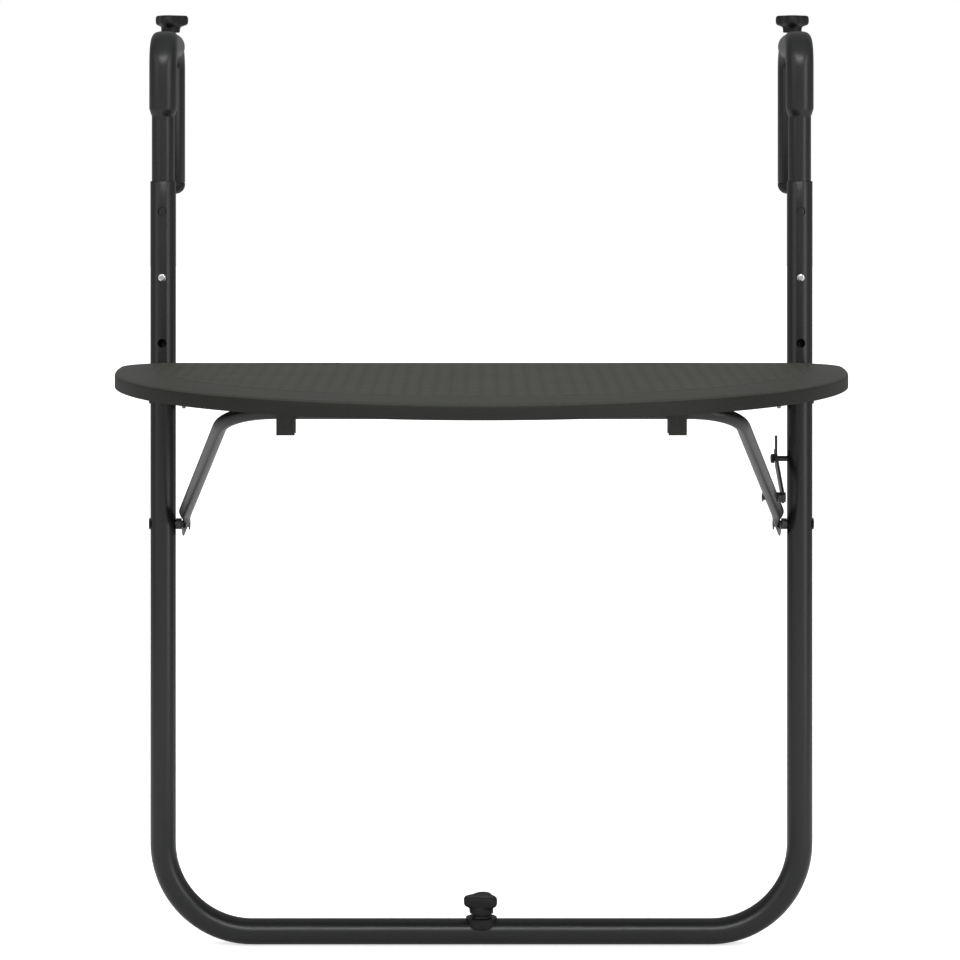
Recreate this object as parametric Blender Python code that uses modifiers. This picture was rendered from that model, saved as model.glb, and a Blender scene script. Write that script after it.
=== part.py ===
"""Hanging balcony table: a folding half-round tabletop on a bent tube frame that hooks over a railing.

Units are metres, +Z is up, -Y is the side where people sit and +Y is the railing. Inside this file
heights are measured from the lowest point of the frame, and y = 0 is the plane of the two uprights.
The finished assembly is then moved so that the world origin is the railing seat: the middle of the
two hooks, at the underside of their arms.
"""
import math

import bmesh
import bpy
from mathutils import Matrix, Vector

# Fits
FIT = 0.0003                # gap between pieces that touch

# Frame tube, bent once into a U
FRAME_HALF_SPACING = 0.2862  # upright axis to the middle plane
FRAME_TUBE_D = 0.023
FRAME_WALL = 0.001
FRAME_BEND_R = 0.080
FRAME_TOP_Z = 0.686

# Height setting
BUTTON_HOLE_COUNT = 3
BUTTON_HOLE_PITCH = 0.059
BUTTON_DROP = 0.086         # from the open top down to the middle hole, where the button sits
BUTTON_D = 0.0074
BUTTON_PROUD = 0.0016
BUTTON_FLANGE_D = 0.0108
BUTTON_FLANGE_T = 0.0012
SPRING_WIDTH = 0.007
SPRING_T = 0.0005
SPRING_DROP = 0.030

# Hook tube: a swaged neck inside the upright, a bend, and an arm that reaches over the railing
HOOK_TUBE_D = 0.025
HOOK_WALL = 0.0015
NECK_WALL = 0.0012
NECK_TAIL = 0.035           # neck below the button
SHOULDER_RISE = 0.057       # from the open top of the upright up to the shoulder
SHOULDER_LENGTH = 0.008
ARM_RISE = 0.057            # from the shoulder up to the arm's axis
HOOK_BEND_R = 0.020
ARM_STRAIGHT = 0.059

# Rear leg: slides in the arm and comes down behind the railing
LEG_WALL = 0.0012
LEG_BEND_R = 0.022
LEG_OUT = 0.0005            # straight leg that shows at the arm's mouth
LEG_INNER_GAP = 0.017       # from the end of the arm's bend to the leg's hidden end
LEG_DROP = 0.126            # from the arm's axis down to the open end
LEG_CAP_DOME = 0.010
LEG_CAP_RIM = 0.0012
LEG_CAP_PLUG = 0.012

# Clamp knobs on the arms
CLAMP_INSET = 0.008         # from the arm's mouth to the clamp screw
CLAMP_SCREW_D = 0.005
CLAMP_BOSS_D = 0.008
CLAMP_BOSS_H = 0.003
CLAMP_PAD_H = 0.0026
KNOB_HUB_H = 0.0064
KNOB_HEAD_H = 0.0096
KNOB_HUB_D = 0.0170
KNOB_MEAN_R = 0.0140
KNOB_LOBE = 0.0030
KNOB_SIDES = 24
KNOB_SCREW_DEPTH = 0.0065   # how far the screw is moulded into the knob

# Knob of the railing stop, a stouter one
STOP_KNOB_HUB_D = 0.0215
STOP_SCREW_D = 0.006

# Tabletop: one moulding with a sloping border, a skirt, ribs and pads
TOP_Z = 0.5265
TOP_OVERHANG = 0.0338       # past the axis of each upright
TOP_BACK_GAP = 0.0025       # from the uprights to the rear edge
TOP_CORNER_R = 0.040
TOP_STRAIGHT = 0.016        # side between the rear corner and the half ellipse
TOP_FRONT_DEPTH = 0.3424
TOP_SKIRT_H = 0.0158
TOP_SKIRT_T = 0.003
TOP_PANEL_T = 0.006
TOP_BORDER_W = 0.034
TOP_BORDER_DROP = 0.0028
TOP_EDGE_R = 0.0035
TOP_ARC_STEPS = 32
RIB_T = 0.0024
RIB_H = 0.0055
RIB_X_SPACING = 0.105
RIB_Y_SPACING = 0.080
GRIP_X = 0.159
GRIP_INSET = 0.038
GRIP_LENGTH = 0.070
GRIP_WIDTH = 0.010
GRIP_DEPTH = 0.0014

# Tabletop hinge: ears under the top, on bolts through the uprights
HINGE_DROP = 0.0197         # from the skirt's lower edge down to the hinge axis
EAR_SPACE = 0.0060          # from the upright to the ear
EAR_T = 0.0025
EAR_R = 0.0095
EAR_FRONT_H = 0.0062
FLANGE_INSET = 0.008        # from the rear edge of the tabletop
FLANGE_LENGTH = 0.056
FLANGE_WIDTH = 0.0338
PAD_MARGIN = 0.004
BOLT_D = 0.006
BOLT_HEAD_D = 0.0105
BOLT_HEAD_H = 0.0008
NUT_D = 0.0105
NUT_H = 0.0050
RETAINER_D = 0.0110         # push-on ring at the tip of the brace's pivot
RETAINER_T = 0.0010
SPACER_D = 0.0100
TOP_SCREW_D = 0.004
TOP_SCREW_HEAD_D = 0.0075
TOP_SCREW_HEAD_H = 0.0018
TOP_SCREW_LENGTH = 0.0085
FRONT_SCREW_INSET = 0.012
REAR_SCREW_INSET = 0.014

# Brace: one bent tube with flattened ends
BRACE_D = 0.012
BRACE_WALL = 0.001
BRACE_DROP = 0.113          # from the hinge axis down to the brace's pivot
BRACE_SPACE = 0.0042        # from the upright to the tube axis where the pivot bolt crosses it
BRACE_BAR_Y = -0.275
BAR_DROP = 0.0063           # from the skirt's lower edge down to the bar's axis
BRACE_CORNER_INSET = 0.0615
BRACE_BEND_R = 0.048
BRACE_END = 0.0100          # from the pivot to the tip of the leg
BRACE_LUG_T = 0.004
BRACE_LUG_WIDTH = 0.0165
BRACE_LUG_LENGTH = 0.026
BRACE_LUG_TAPER = 0.022
BRACE_VENT_D = 0.004

# Snap clips that hold the bar of the brace
CLIP_INSET = 0.0101         # from the end of the brace's bend
CLIP_WIDTH = 0.0150
CLIP_BASE_T = 0.002
CLIP_CROWN = 0.0004         # base above the bar's seat
CLIP_END_RISE = 0.0003      # the base thins towards its ends
CLIP_BASE_LENGTH = 0.044
CLIP_BODY_LENGTH = 0.0206
CLIP_DROP = 0.0182          # from the bar's axis down to the clip's lower edge
CLIP_MOUTH = 0.0100
CLIP_SCREW_INSET = 0.0055   # from the end of the base

# Latch on the right leg of the brace
LATCH_SPACE = 0.0110        # from the upright to the far side of the latch plate
LATCH_T = 0.0021
LATCH_PIVOT_Y = -0.070
LATCH_PIN_DROP = 0.0544     # from the hinge axis down to the pin
LATCH_PIN_D = 0.005
LATCH_PIN_HEAD_D = 0.0085
LATCH_PIN_HEAD_T = 0.0034
LATCH_PIN_TAIL = 0.004
LATCH_HALF_WIDTH = 0.0055
LATCH_NOTCH_PLAY = 0.0023
LATCH_NOSE = 0.0052
LATCH_HANDLE_H = 0.0165
LATCH_HANDLE_W = 0.005
LATCH_BOLT_D = 0.005
LATCH_BOLT_HEAD_D = 0.0095
LATCH_BOLT_HEAD_H = 0.0015
LATCH_RETAINER_D = 0.0090
LATCH_RETAINER_T = 0.0010

# Railing stop on the bottom tube
STOP_SADDLE_D = 0.028
STOP_SADDLE_RISE = 0.005    # from the tube axis up to the saddle's lower edge
STOP_SADDLE_CROWN = 0.0009
STOP_PLATE_W = 0.018
STOP_PLATE_T = 0.002
STOP_FRONT_Y = -0.009
STOP_TAB_Y = 0.040
STOP_TAB_LOW_Z = 0.003
STOP_TRAVEL = 0.025
STOP_PAD_T = 0.008
STOP_WASHER_D = 0.016
STOP_WASHER_T = 0.001
STOP_SCREW_PAST = 0.003     # screw past the tube axis
WELD_NUT_D = 0.0100
WELD_NUT_H = 0.005

# Roundness of the faceted solids
TUBE_RESOLUTION = 5         # 14 sides
SMALL_TUBE_RESOLUTION = 4   # 12 sides
BEND_STEP = math.radians(15)
ROUND_SIDES = 18
SMALL_SIDES = 12

# Sizes that follow from the ones above
FRAME_R = FRAME_TUBE_D / 2
BORE_R = FRAME_R - FRAME_WALL
NECK_R = BORE_R - FIT
HOOK_R = HOOK_TUBE_D / 2
LEG_R = HOOK_R - HOOK_WALL - FIT
BOTTOM_AXIS_Z = FRAME_R
UPRIGHT_OUTER_X = FRAME_HALF_SPACING + FRAME_R
UPRIGHT_INNER_X = FRAME_HALF_SPACING - FRAME_R
BUTTON_Z = FRAME_TOP_Z - BUTTON_DROP
NECK_END_Z = BUTTON_Z - NECK_TAIL
SHOULDER_LOW_Z = FRAME_TOP_Z + SHOULDER_RISE
SHOULDER_HIGH_Z = SHOULDER_LOW_Z + SHOULDER_LENGTH
ARM_Z = SHOULDER_HIGH_Z + ARM_RISE
ARM_TOP_Z = ARM_Z + HOOK_R
ARM_MOUTH_Y = HOOK_BEND_R + ARM_STRAIGHT
CLAMP_Y = ARM_MOUTH_Y - CLAMP_INSET
LEG_INNER_END_Y = HOOK_BEND_R + LEG_INNER_GAP
LEG_Y = ARM_MOUTH_Y + LEG_OUT + LEG_BEND_R
LEG_END_Z = ARM_Z - LEG_DROP
TOP_HALF_WIDTH = FRAME_HALF_SPACING + TOP_OVERHANG
TOP_BACK_Y = -FRAME_R - TOP_BACK_GAP
TOP_WIDEST_Y = TOP_BACK_Y - TOP_CORNER_R - TOP_STRAIGHT
TOP_FRONT_Y = TOP_WIDEST_Y - TOP_FRONT_DEPTH
GRIP_Y = TOP_BACK_Y - GRIP_INSET
UNDERSIDE_Z = TOP_Z - TOP_SKIRT_H
PANEL_LOW_Z = TOP_Z - TOP_PANEL_T
HINGE_Z = UNDERSIDE_Z - HINGE_DROP
EAR_OUTER_X = UPRIGHT_INNER_X - EAR_SPACE
EAR_INNER_X = EAR_OUTER_X - EAR_T
FLANGE_Z = UNDERSIDE_Z - FIT
FLANGE_OUTER_X = EAR_INNER_X + FLANGE_WIDTH
FLANGE_BACK_Y = TOP_BACK_Y - FLANGE_INSET
EAR_FRONT_Y = FLANGE_BACK_Y - FLANGE_LENGTH
BRACKET_SCREW_YS = (EAR_FRONT_Y + FRONT_SCREW_INSET, FLANGE_BACK_Y - REAR_SCREW_INSET)
BAR_Z = UNDERSIDE_Z - BAR_DROP
BRACE_PIVOT_Z = HINGE_Z - BRACE_DROP
BRACE_PIVOT_X = UPRIGHT_INNER_X - BRACE_SPACE
BRACE_CORNER_X = BRACE_PIVOT_X - BRACE_CORNER_INSET
BRACE_SLOPE = BRACE_CORNER_INSET / math.hypot(BRACE_BAR_Y, BAR_Z - BRACE_PIVOT_Z)
BRACE_LEAN = math.hypot(1.0, BRACE_SLOPE)
BRACE_SPACER_END_X = (BRACE_PIVOT_X + (BRACE_LUG_T - BRACE_D / 2) * BRACE_LEAN
                      + SPACER_D / 2 * BRACE_SLOPE + FIT)
BRACE_RETAINER_X = BRACE_PIVOT_X - BRACE_D / 2 * BRACE_LEAN - RETAINER_D / 2 * BRACE_SLOPE - FIT
BRACE_TURN = math.atan2(1.0, BRACE_SLOPE)
CLIP_X = BRACE_CORNER_X - BRACE_BEND_R * math.tan(BRACE_TURN / 2) - CLIP_INSET
CLIP_SCREW_OFFSET = CLIP_BASE_LENGTH / 2 - CLIP_SCREW_INSET
CLIP_BOTTOM_Z = BAR_Z - CLIP_DROP
CLIP_BASE_LOW_Z = BAR_Z + BRACE_D / 2 + FIT + CLIP_CROWN
CLIP_TOP_Z = CLIP_BASE_LOW_Z + CLIP_BASE_T
LATCH_INNER_X = UPRIGHT_INNER_X - LATCH_SPACE
LATCH_OUTER_X = LATCH_INNER_X + LATCH_T
LATCH_PIN_Z = HINGE_Z - LATCH_PIN_DROP
LATCH_PIVOT_Z = (BRACE_PIVOT_Z
                 + (BAR_Z - BRACE_PIVOT_Z) * LATCH_PIVOT_Y / BRACE_BAR_Y)
STOP_SADDLE_LOW_Z = BOTTOM_AXIS_Z + STOP_SADDLE_RISE
STOP_SCREW_LOW_Z = BOTTOM_AXIS_Z - STOP_SCREW_PAST
STOP_SEAT_Z = FRAME_TUBE_D + FIT + STOP_SADDLE_CROWN
STOP_PLATE_Z = STOP_SEAT_Z + FIT
STOP_WASHER_Z = STOP_PLATE_Z + STOP_PLATE_T + FIT
STOP_KNOB_Z = STOP_WASHER_Z + STOP_WASHER_T + FIT
RAILING_SEAT = Vector((0.0, 0.0, ARM_Z - HOOK_R))

SIDES = (("left", -1), ("right", 1))


def clear_scene():
    for old in list(bpy.data.objects):
        bpy.data.objects.remove(old, do_unlink=True)


def new_collection(name):
    collection = bpy.data.collections.new(name)
    bpy.context.scene.collection.children.link(collection)
    return collection


def make_material(name, colour, roughness, metallic):
    material = bpy.data.materials.new(name)
    material.use_nodes = True
    shader = material.node_tree.nodes["Principled BSDF"]
    shader.inputs["Base Color"].default_value = (*colour, 1.0)
    shader.inputs["Roughness"].default_value = roughness
    shader.inputs["Metallic"].default_value = metallic
    return material


def object_from(shape, name, collection):
    """A named object that holds the bmesh shape."""
    mesh = bpy.data.meshes.new(name)
    shape.to_mesh(mesh)
    shape.free()
    made = bpy.data.objects.new(name, mesh)
    collection.objects.link(made)
    return made


def welded_mesh(source, name, collection):
    """Replace a curve, or an object with modifiers, by the welded mesh that it evaluates to."""
    graph = bpy.context.evaluated_depsgraph_get()
    mesh = bpy.data.meshes.new_from_object(source.evaluated_get(graph))
    place = source.matrix_world.copy()
    bpy.data.objects.remove(source, do_unlink=True)
    shape = bmesh.new()
    shape.from_mesh(mesh)
    bmesh.ops.remove_doubles(shape, verts=shape.verts, dist=0.00001)
    bmesh.ops.recalc_face_normals(shape, faces=shape.faces)
    bpy.data.meshes.remove(mesh)
    made = object_from(shape, name, collection)
    made.matrix_world = place
    return made


def bent_path(corners, radius):
    """Points along straight runs joined by arcs of the given radius at every inner corner."""
    corners = [Vector(corner) for corner in corners]
    points = [corners[0]]
    for before, corner, after in zip(corners, corners[1:], corners[2:]):
        way_in = (corner - before).normalized()
        way_out = (after - corner).normalized()
        turn = way_in.angle(way_out)
        setback = radius * math.tan(turn / 2)
        normal = (way_out - way_in * way_in.dot(way_out)).normalized()
        centre = corner - way_in * setback + normal * radius
        steps = max(2, round(turn / BEND_STEP))
        for step in range(steps + 1):
            angle = turn * step / steps
            points.append(centre + radius * (way_in * math.sin(angle) - normal * math.cos(angle)))
    points.append(corners[-1])
    return points


def swept_rod(name, points, radii, resolution, collection):
    """A round rod along the points, with its own radius at each of them."""
    curve = bpy.data.curves.new(name, "CURVE")
    curve.dimensions = "3D"
    curve.bevel_depth = max(radii)
    curve.bevel_resolution = resolution
    curve.use_fill_caps = True
    spline = curve.splines.new("POLY")
    spline.points.add(len(points) - 1)
    for place, point, radius in zip(spline.points, points, radii):
        place.co = (*point, 1.0)
        place.radius = radius / curve.bevel_depth
    made = bpy.data.objects.new(name, curve)
    collection.objects.link(made)
    bpy.context.view_layer.update()
    return welded_mesh(made, name, collection)


def flat_plate(name, outlines, low, thickness, turn, collection):
    """A plate from closed 2D outlines, the first the rim and the rest holes, laid out by turn."""
    curve = bpy.data.curves.new(name, "CURVE")
    curve.dimensions = "2D"
    curve.fill_mode = "BOTH"
    curve.extrude = thickness / 2
    for outline in outlines:
        spline = curve.splines.new("POLY")
        spline.points.add(len(outline) - 1)
        for place, point in zip(spline.points, outline):
            place.co = (point[0], point[1], 0.0, 1.0)
        spline.use_cyclic_u = True
    made = bpy.data.objects.new(name, curve)
    collection.objects.link(made)
    made.matrix_world = turn @ Matrix.Translation((0, 0, low + thickness / 2))
    bpy.context.view_layer.update()
    return welded_mesh(made, name, collection)


# Lays a plate drawn as (y, z) in the plane across X, its low side towards -X
ACROSS_X = Matrix(((0, 0, 1, 0), (1, 0, 0, 0), (0, 1, 0, 0), (0, 0, 0, 1)))
LEVEL = Matrix.Identity(4)


def arc(centre, radius, start_deg, end_deg, steps):
    """Points on a circle arc, both ends included."""
    points = []
    for step in range(steps + 1):
        angle = math.radians(start_deg + (end_deg - start_deg) * step / steps)
        points.append((centre[0] + radius * math.cos(angle), centre[1] + radius * math.sin(angle)))
    return points


def circle(centre, diameter, sides):
    return arc(centre, diameter / 2, 0, 360 * (sides - 1) / sides, sides - 1)


def slot_outline(low, high, x, width, steps):
    """A slot along Y with round ends, drawn as (x, y)."""
    radius = width / 2
    return (arc((x, high - radius), radius, 0, 180, steps)
            + arc((x, low + radius), radius, 180, 360, steps))


def turned(name, profile, place, axis, sides, collection, closed=False):
    """A turned piece: the profile holds (radius, height) from the top down its outer side."""
    shape = bmesh.new()
    corners = [shape.verts.new((radius, 0, height)) for radius, height in profile]
    for first, second in zip(corners, corners[1:]):
        shape.edges.new((first, second))
    if closed:
        shape.edges.new((corners[-1], corners[0]))
    made = object_from(shape, name, collection)
    screw = made.modifiers.new("turning", "SCREW")
    screw.steps = sides
    screw.render_steps = sides
    screw.use_merge_vertices = True
    screw.merge_threshold = 0.00001
    turn = Vector((0, 0, 1)).rotation_difference(Vector(axis)).to_matrix().to_4x4()
    made.matrix_world = Matrix.Translation(Vector(place)) @ turn
    bpy.context.view_layer.update()
    return welded_mesh(made, name, collection)


def ring_profile(inner_d, outer_d, low, high):
    return [(outer_d / 2, high), (outer_d / 2, low), (inner_d / 2, low), (inner_d / 2, high)]


def rod_cutter(name, start, end, diameter, sides=ROUND_SIDES):
    """A hidden cylinder from start to end that cuts a hole."""
    start, end = Vector(start), Vector(end)
    way = end - start
    shape = bmesh.new()
    bmesh.ops.create_cone(shape, cap_ends=True, segments=sides, radius1=diameter / 2,
                          radius2=diameter / 2, depth=way.length)
    turn = Vector((0, 0, 1)).rotation_difference(way).to_matrix().to_4x4()
    bmesh.ops.transform(shape, matrix=Matrix.Translation((start + end) / 2) @ turn, verts=shape.verts)
    return as_cutter(object_from(shape, name, CUTTERS))


def box_object(name, low, high, collection):
    low, high = Vector(low), Vector(high)
    shape = bmesh.new()
    bmesh.ops.create_cube(shape, size=1.0)
    bmesh.ops.scale(shape, vec=high - low, verts=shape.verts)
    bmesh.ops.translate(shape, vec=(low + high) / 2, verts=shape.verts)
    return object_from(shape, name, collection)


def as_cutter(tool):
    tool.hide_render = True
    tool.display_type = "WIRE"
    return tool


def combine(target, tool, operation):
    """Cut the target with the tool, or join the tool to it."""
    change = target.modifiers.new(tool.name, "BOOLEAN")
    change.operation = operation
    change.solver = "EXACT"
    change.object = tool
    return target


def cut(target, tool):
    return combine(target, tool, "DIFFERENCE")


def join(target, tool):
    return combine(target, as_cutter(tool), "UNION")


def round_edges(target, width, segments, angle_deg=40):
    edge = target.modifiers.new("edges", "BEVEL")
    edge.width = width
    edge.segments = segments
    edge.limit_method = "ANGLE"
    edge.angle_limit = math.radians(angle_deg)
    return target


def shade_round(target, angle_deg=35):
    target.data.shade_smooth()
    target.data.set_sharp_from_angle(angle=math.radians(angle_deg))
    return target


def finish(target, material, origin=None):
    """Give the piece its material and, when it moves, its origin on the joint axis."""
    if origin is not None:
        shift = Vector(origin)
        local = target.matrix_world.inverted() @ shift
        target.data.transform(Matrix.Translation(-local))
        target.matrix_world = target.matrix_world @ Matrix.Translation(local)
    target.data.materials.clear()
    target.data.materials.append(material)
    return shade_round(target)


def dome_profile(radius, height, low, steps):
    """The outer side of a dome that stands on height low, from its crown down to its rim."""
    points = []
    for step in range(steps + 1):
        angle = math.pi / 2 * (1 - step / steps)
        points.append((radius * math.cos(angle), low + height * math.sin(angle)))
    points[0] = (0.0, low + height)
    return points


def headed_pin(name, place, axis, shank_d, shank_length, head_d, head_h, material, sides=SMALL_SIDES):
    """A domed head standing on place, with its shank running back against the axis."""
    profile = dome_profile(head_d / 2, head_h, 0.0, 3)
    profile += [(shank_d / 2, 0.0), (shank_d / 2, -shank_length), (0.0, -shank_length)]
    return finish(turned(name, profile, place, axis, sides, PARTS), material)


def hexagon_nut(name, centre, faces, hole_d, outer_d, turn, material):
    """A hexagon nut between two parallel faces, with a round hole; centre is in the plane of turn."""
    outlines = [circle(centre, outer_d, 6), circle(centre, hole_d, SMALL_SIDES)]
    low, high = sorted(faces)
    return finish(flat_plate(name, outlines, low, high - low, turn, PARTS), material)


def collar(name, place, axis, hole_d, outer_d, length, material):
    profile = ring_profile(hole_d, outer_d, 0.0, length)
    return finish(turned(name, profile, place, axis, SMALL_SIDES, PARTS, closed=True), material)


def make_frame_tube():
    """The U of the frame, with its button holes, bolt holes and the hole of the railing stop."""
    x = FRAME_HALF_SPACING
    corners = [(-x, 0, FRAME_TOP_Z), (-x, 0, BOTTOM_AXIS_Z), (x, 0, BOTTOM_AXIS_Z), (x, 0, FRAME_TOP_Z)]
    points = bent_path(corners, FRAME_BEND_R)
    tube = swept_rod("frame_tube", points, [FRAME_R] * len(points), TUBE_RESOLUTION, PARTS)
    past = Vector((0, 0, FRAME_WALL))
    points[0] = points[0] + past
    points[-1] = points[-1] + past
    bore = swept_rod("frame_bore", points, [BORE_R] * len(points), TUBE_RESOLUTION, CUTTERS)
    cut(tube, as_cutter(bore))
    reach = 2 * FRAME_R
    for side, sign in SIDES:
        for index in range(BUTTON_HOLE_COUNT):
            z = BUTTON_Z + (index - (BUTTON_HOLE_COUNT - 1) / 2) * BUTTON_HOLE_PITCH
            hole = rod_cutter(f"{side}_button_hole_{index}", (sign * x, -reach, z), (sign * x, 0, z),
                              BUTTON_D + 2 * FIT, SMALL_SIDES)
            cut(tube, hole)
        for label, z in (("hinge", HINGE_Z), ("brace", BRACE_PIVOT_Z)):
            hole = rod_cutter(f"{side}_{label}_hole", (sign * (x - reach), 0, z),
                              (sign * (x + reach), 0, z), BOLT_D + 2 * FIT, SMALL_SIDES)
            cut(tube, hole)
    cut(tube, rod_cutter("latch_pin_hole", (x - reach, 0, LATCH_PIN_Z), (x, 0, LATCH_PIN_Z),
                         LATCH_PIN_D + 2 * FIT, SMALL_SIDES))
    cut(tube, rod_cutter("stop_screw_hole", (0, 0, BOTTOM_AXIS_Z), (0, 0, BOTTOM_AXIS_Z + reach),
                         STOP_SCREW_D + 2 * FIT, SMALL_SIDES))
    return finish(tube, POWDER_COAT)


def make_pivot_bolt(side, sign, label, z, spacer_end_x, tip_x):
    """Bolt through an upright, its head on the outer side, and the spacer on its inner side."""
    head_x = UPRIGHT_OUTER_X + FIT
    headed_pin(f"{side}_{label}_bolt", (sign * head_x, 0, z), (sign, 0, 0), BOLT_D, head_x - tip_x,
               BOLT_HEAD_D, BOLT_HEAD_H, POWDER_COAT)
    spacer_start_x = UPRIGHT_INNER_X - FIT
    collar(f"{side}_{label}_spacer", (sign * spacer_start_x, 0, z), (-sign, 0, 0),
           BOLT_D + 2 * FIT, SPACER_D, spacer_start_x - spacer_end_x, DARK_ZINC)


def make_pivots(side, sign):
    """The tabletop's hinge bolt with its nut, and the bolt of the brace with a push-on retainer."""
    nut_x = EAR_INNER_X - FIT
    make_pivot_bolt(side, sign, "hinge", HINGE_Z, EAR_OUTER_X + FIT, nut_x - NUT_H)
    hexagon_nut(f"{side}_hinge_nut", (0, HINGE_Z), (sign * nut_x, sign * (nut_x - NUT_H)),
                BOLT_D + 2 * FIT, NUT_D, ACROSS_X, DARK_ZINC)
    make_pivot_bolt(side, sign, "brace", BRACE_PIVOT_Z, BRACE_SPACER_END_X, BRACE_RETAINER_X - RETAINER_T)
    collar(f"{side}_brace_retainer", (sign * BRACE_RETAINER_X, 0, BRACE_PIVOT_Z), (-sign, 0, 0),
           BOLT_D + 2 * FIT, RETAINER_D, RETAINER_T, DARK_ZINC)


def make_latch_pin():
    """Pin welded in the right upright; its head keeps the latch from slipping off sideways."""
    inner_face = LATCH_INNER_X - FIT
    tail = UPRIGHT_INNER_X + FRAME_WALL + LATCH_PIN_TAIL
    profile = [(0, 0), (LATCH_PIN_HEAD_D / 2 - 0.0008, 0), (LATCH_PIN_HEAD_D / 2, -0.0008),
               (LATCH_PIN_HEAD_D / 2, -LATCH_PIN_HEAD_T), (LATCH_PIN_D / 2, -LATCH_PIN_HEAD_T),
               (LATCH_PIN_D / 2, -LATCH_PIN_HEAD_T - tail + inner_face),
               (0, -LATCH_PIN_HEAD_T - tail + inner_face)]
    place = (inner_face - LATCH_PIN_HEAD_T, 0, LATCH_PIN_Z)
    finish(turned("latch_pin", profile, place, (-1, 0, 0), SMALL_SIDES, PARTS), DARK_ZINC)


def hook_path(sign, low_z, mouth_y):
    """Centre line of a hook tube and the index of its first point above the shoulder."""
    x = sign * FRAME_HALF_SPACING
    bend = bent_path([(x, 0, SHOULDER_HIGH_Z), (x, 0, ARM_Z), (x, mouth_y, ARM_Z)], HOOK_BEND_R)
    return [Vector((x, 0, low_z)), Vector((x, 0, SHOULDER_LOW_Z))] + bend


def make_hook(side, sign):
    """Hook tube with its button hole, clamp hole and boss."""
    x = sign * FRAME_HALF_SPACING
    points = hook_path(sign, NECK_END_Z, ARM_MOUTH_Y)
    radii = [NECK_R, NECK_R] + [HOOK_R] * (len(points) - 2)
    tube = swept_rod(f"{side}_hook_tube", points, radii, TUBE_RESOLUTION, PARTS)
    inner = hook_path(sign, NECK_END_Z - HOOK_WALL, ARM_MOUTH_Y + HOOK_WALL)
    inner_radii = [NECK_R - NECK_WALL] * 2 + [HOOK_R - HOOK_WALL] * (len(inner) - 2)
    bore = swept_rod(f"{side}_hook_bore", inner, inner_radii, TUBE_RESOLUTION, CUTTERS)
    cut(tube, as_cutter(bore))
    cut(tube, rod_cutter(f"{side}_neck_button_hole", (x, -FRAME_TUBE_D, BUTTON_Z), (x, 0, BUTTON_Z),
                         BUTTON_D + 2 * FIT, SMALL_SIDES))
    cut(tube, rod_cutter(f"{side}_clamp_hole", (x, CLAMP_Y, ARM_Z), (x, CLAMP_Y, ARM_Z + HOOK_TUBE_D),
                         CLAMP_SCREW_D + 2 * FIT, SMALL_SIDES))
    finish(tube, POWDER_COAT, (x, 0, FRAME_TOP_Z))

    boss_low = ARM_TOP_Z - HOOK_WALL
    boss = turned(f"{side}_clamp_boss",
                  ring_profile(CLAMP_SCREW_D + 2 * FIT, CLAMP_BOSS_D, boss_low, ARM_TOP_Z + CLAMP_BOSS_H),
                  (x, CLAMP_Y, 0), (0, 0, 1), SMALL_SIDES, PARTS, closed=True)
    cut(boss, rod_cutter(f"{side}_boss_saddle", (x, CLAMP_Y - HOOK_R, ARM_Z), (x, CLAMP_Y + HOOK_R, ARM_Z),
                         HOOK_TUBE_D + 2 * FIT, 48))
    finish(boss, POWDER_COAT)


def make_button(side, sign):
    """Sprung button that locks the height, and the leaf spring behind it."""
    x = sign * FRAME_HALF_SPACING
    front = FRAME_R + BUTTON_PROUD
    neck_bore_r = NECK_R - NECK_WALL
    flange_front = math.sqrt((neck_bore_r - FIT) ** 2 - (BUTTON_FLANGE_D / 2) ** 2) - FIT
    flange_back = flange_front - BUTTON_FLANGE_T
    profile = dome_profile(BUTTON_D / 2, BUTTON_D / 4, front - BUTTON_D / 4, 4)
    profile += [(BUTTON_D / 2, flange_front), (BUTTON_FLANGE_D / 2, flange_front),
                (BUTTON_FLANGE_D / 2, flange_back), (0, flange_back)]
    button = turned(f"{side}_snap_button", profile, (x, 0, BUTTON_Z), (0, -1, 0), SMALL_SIDES, PARTS)
    finish(button, BRIGHT_ZINC, (x, -front, BUTTON_Z))

    near_y = -flange_back + FIT
    far_y = math.sqrt((neck_bore_r - FIT) ** 2 - (SPRING_WIDTH / 2) ** 2) - SPRING_T - FIT
    low = BUTTON_Z - SPRING_DROP
    bend_r = (far_y - near_y) / 2
    centre = ((near_y + far_y) / 2, low + bend_r)
    line = [(near_y, BUTTON_Z + BUTTON_FLANGE_D / 2)] + arc(centre, bend_r, 180, 360, 8)
    line.append((far_y, BUTTON_Z))
    shape = bmesh.new()
    rows = []
    for y, z in line:
        rows.append([shape.verts.new((x + s * SPRING_WIDTH / 2, y, z)) for s in (-1, 1)])
    for lower, upper in zip(rows, rows[1:]):
        shape.faces.new((lower[0], lower[1], upper[1], upper[0]))
    spring = object_from(shape, f"{side}_button_spring", PARTS)
    solid = spring.modifiers.new("leaf", "SOLIDIFY")
    solid.thickness = SPRING_T
    solid.offset = 1.0
    finish(spring, BRIGHT_ZINC)


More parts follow.
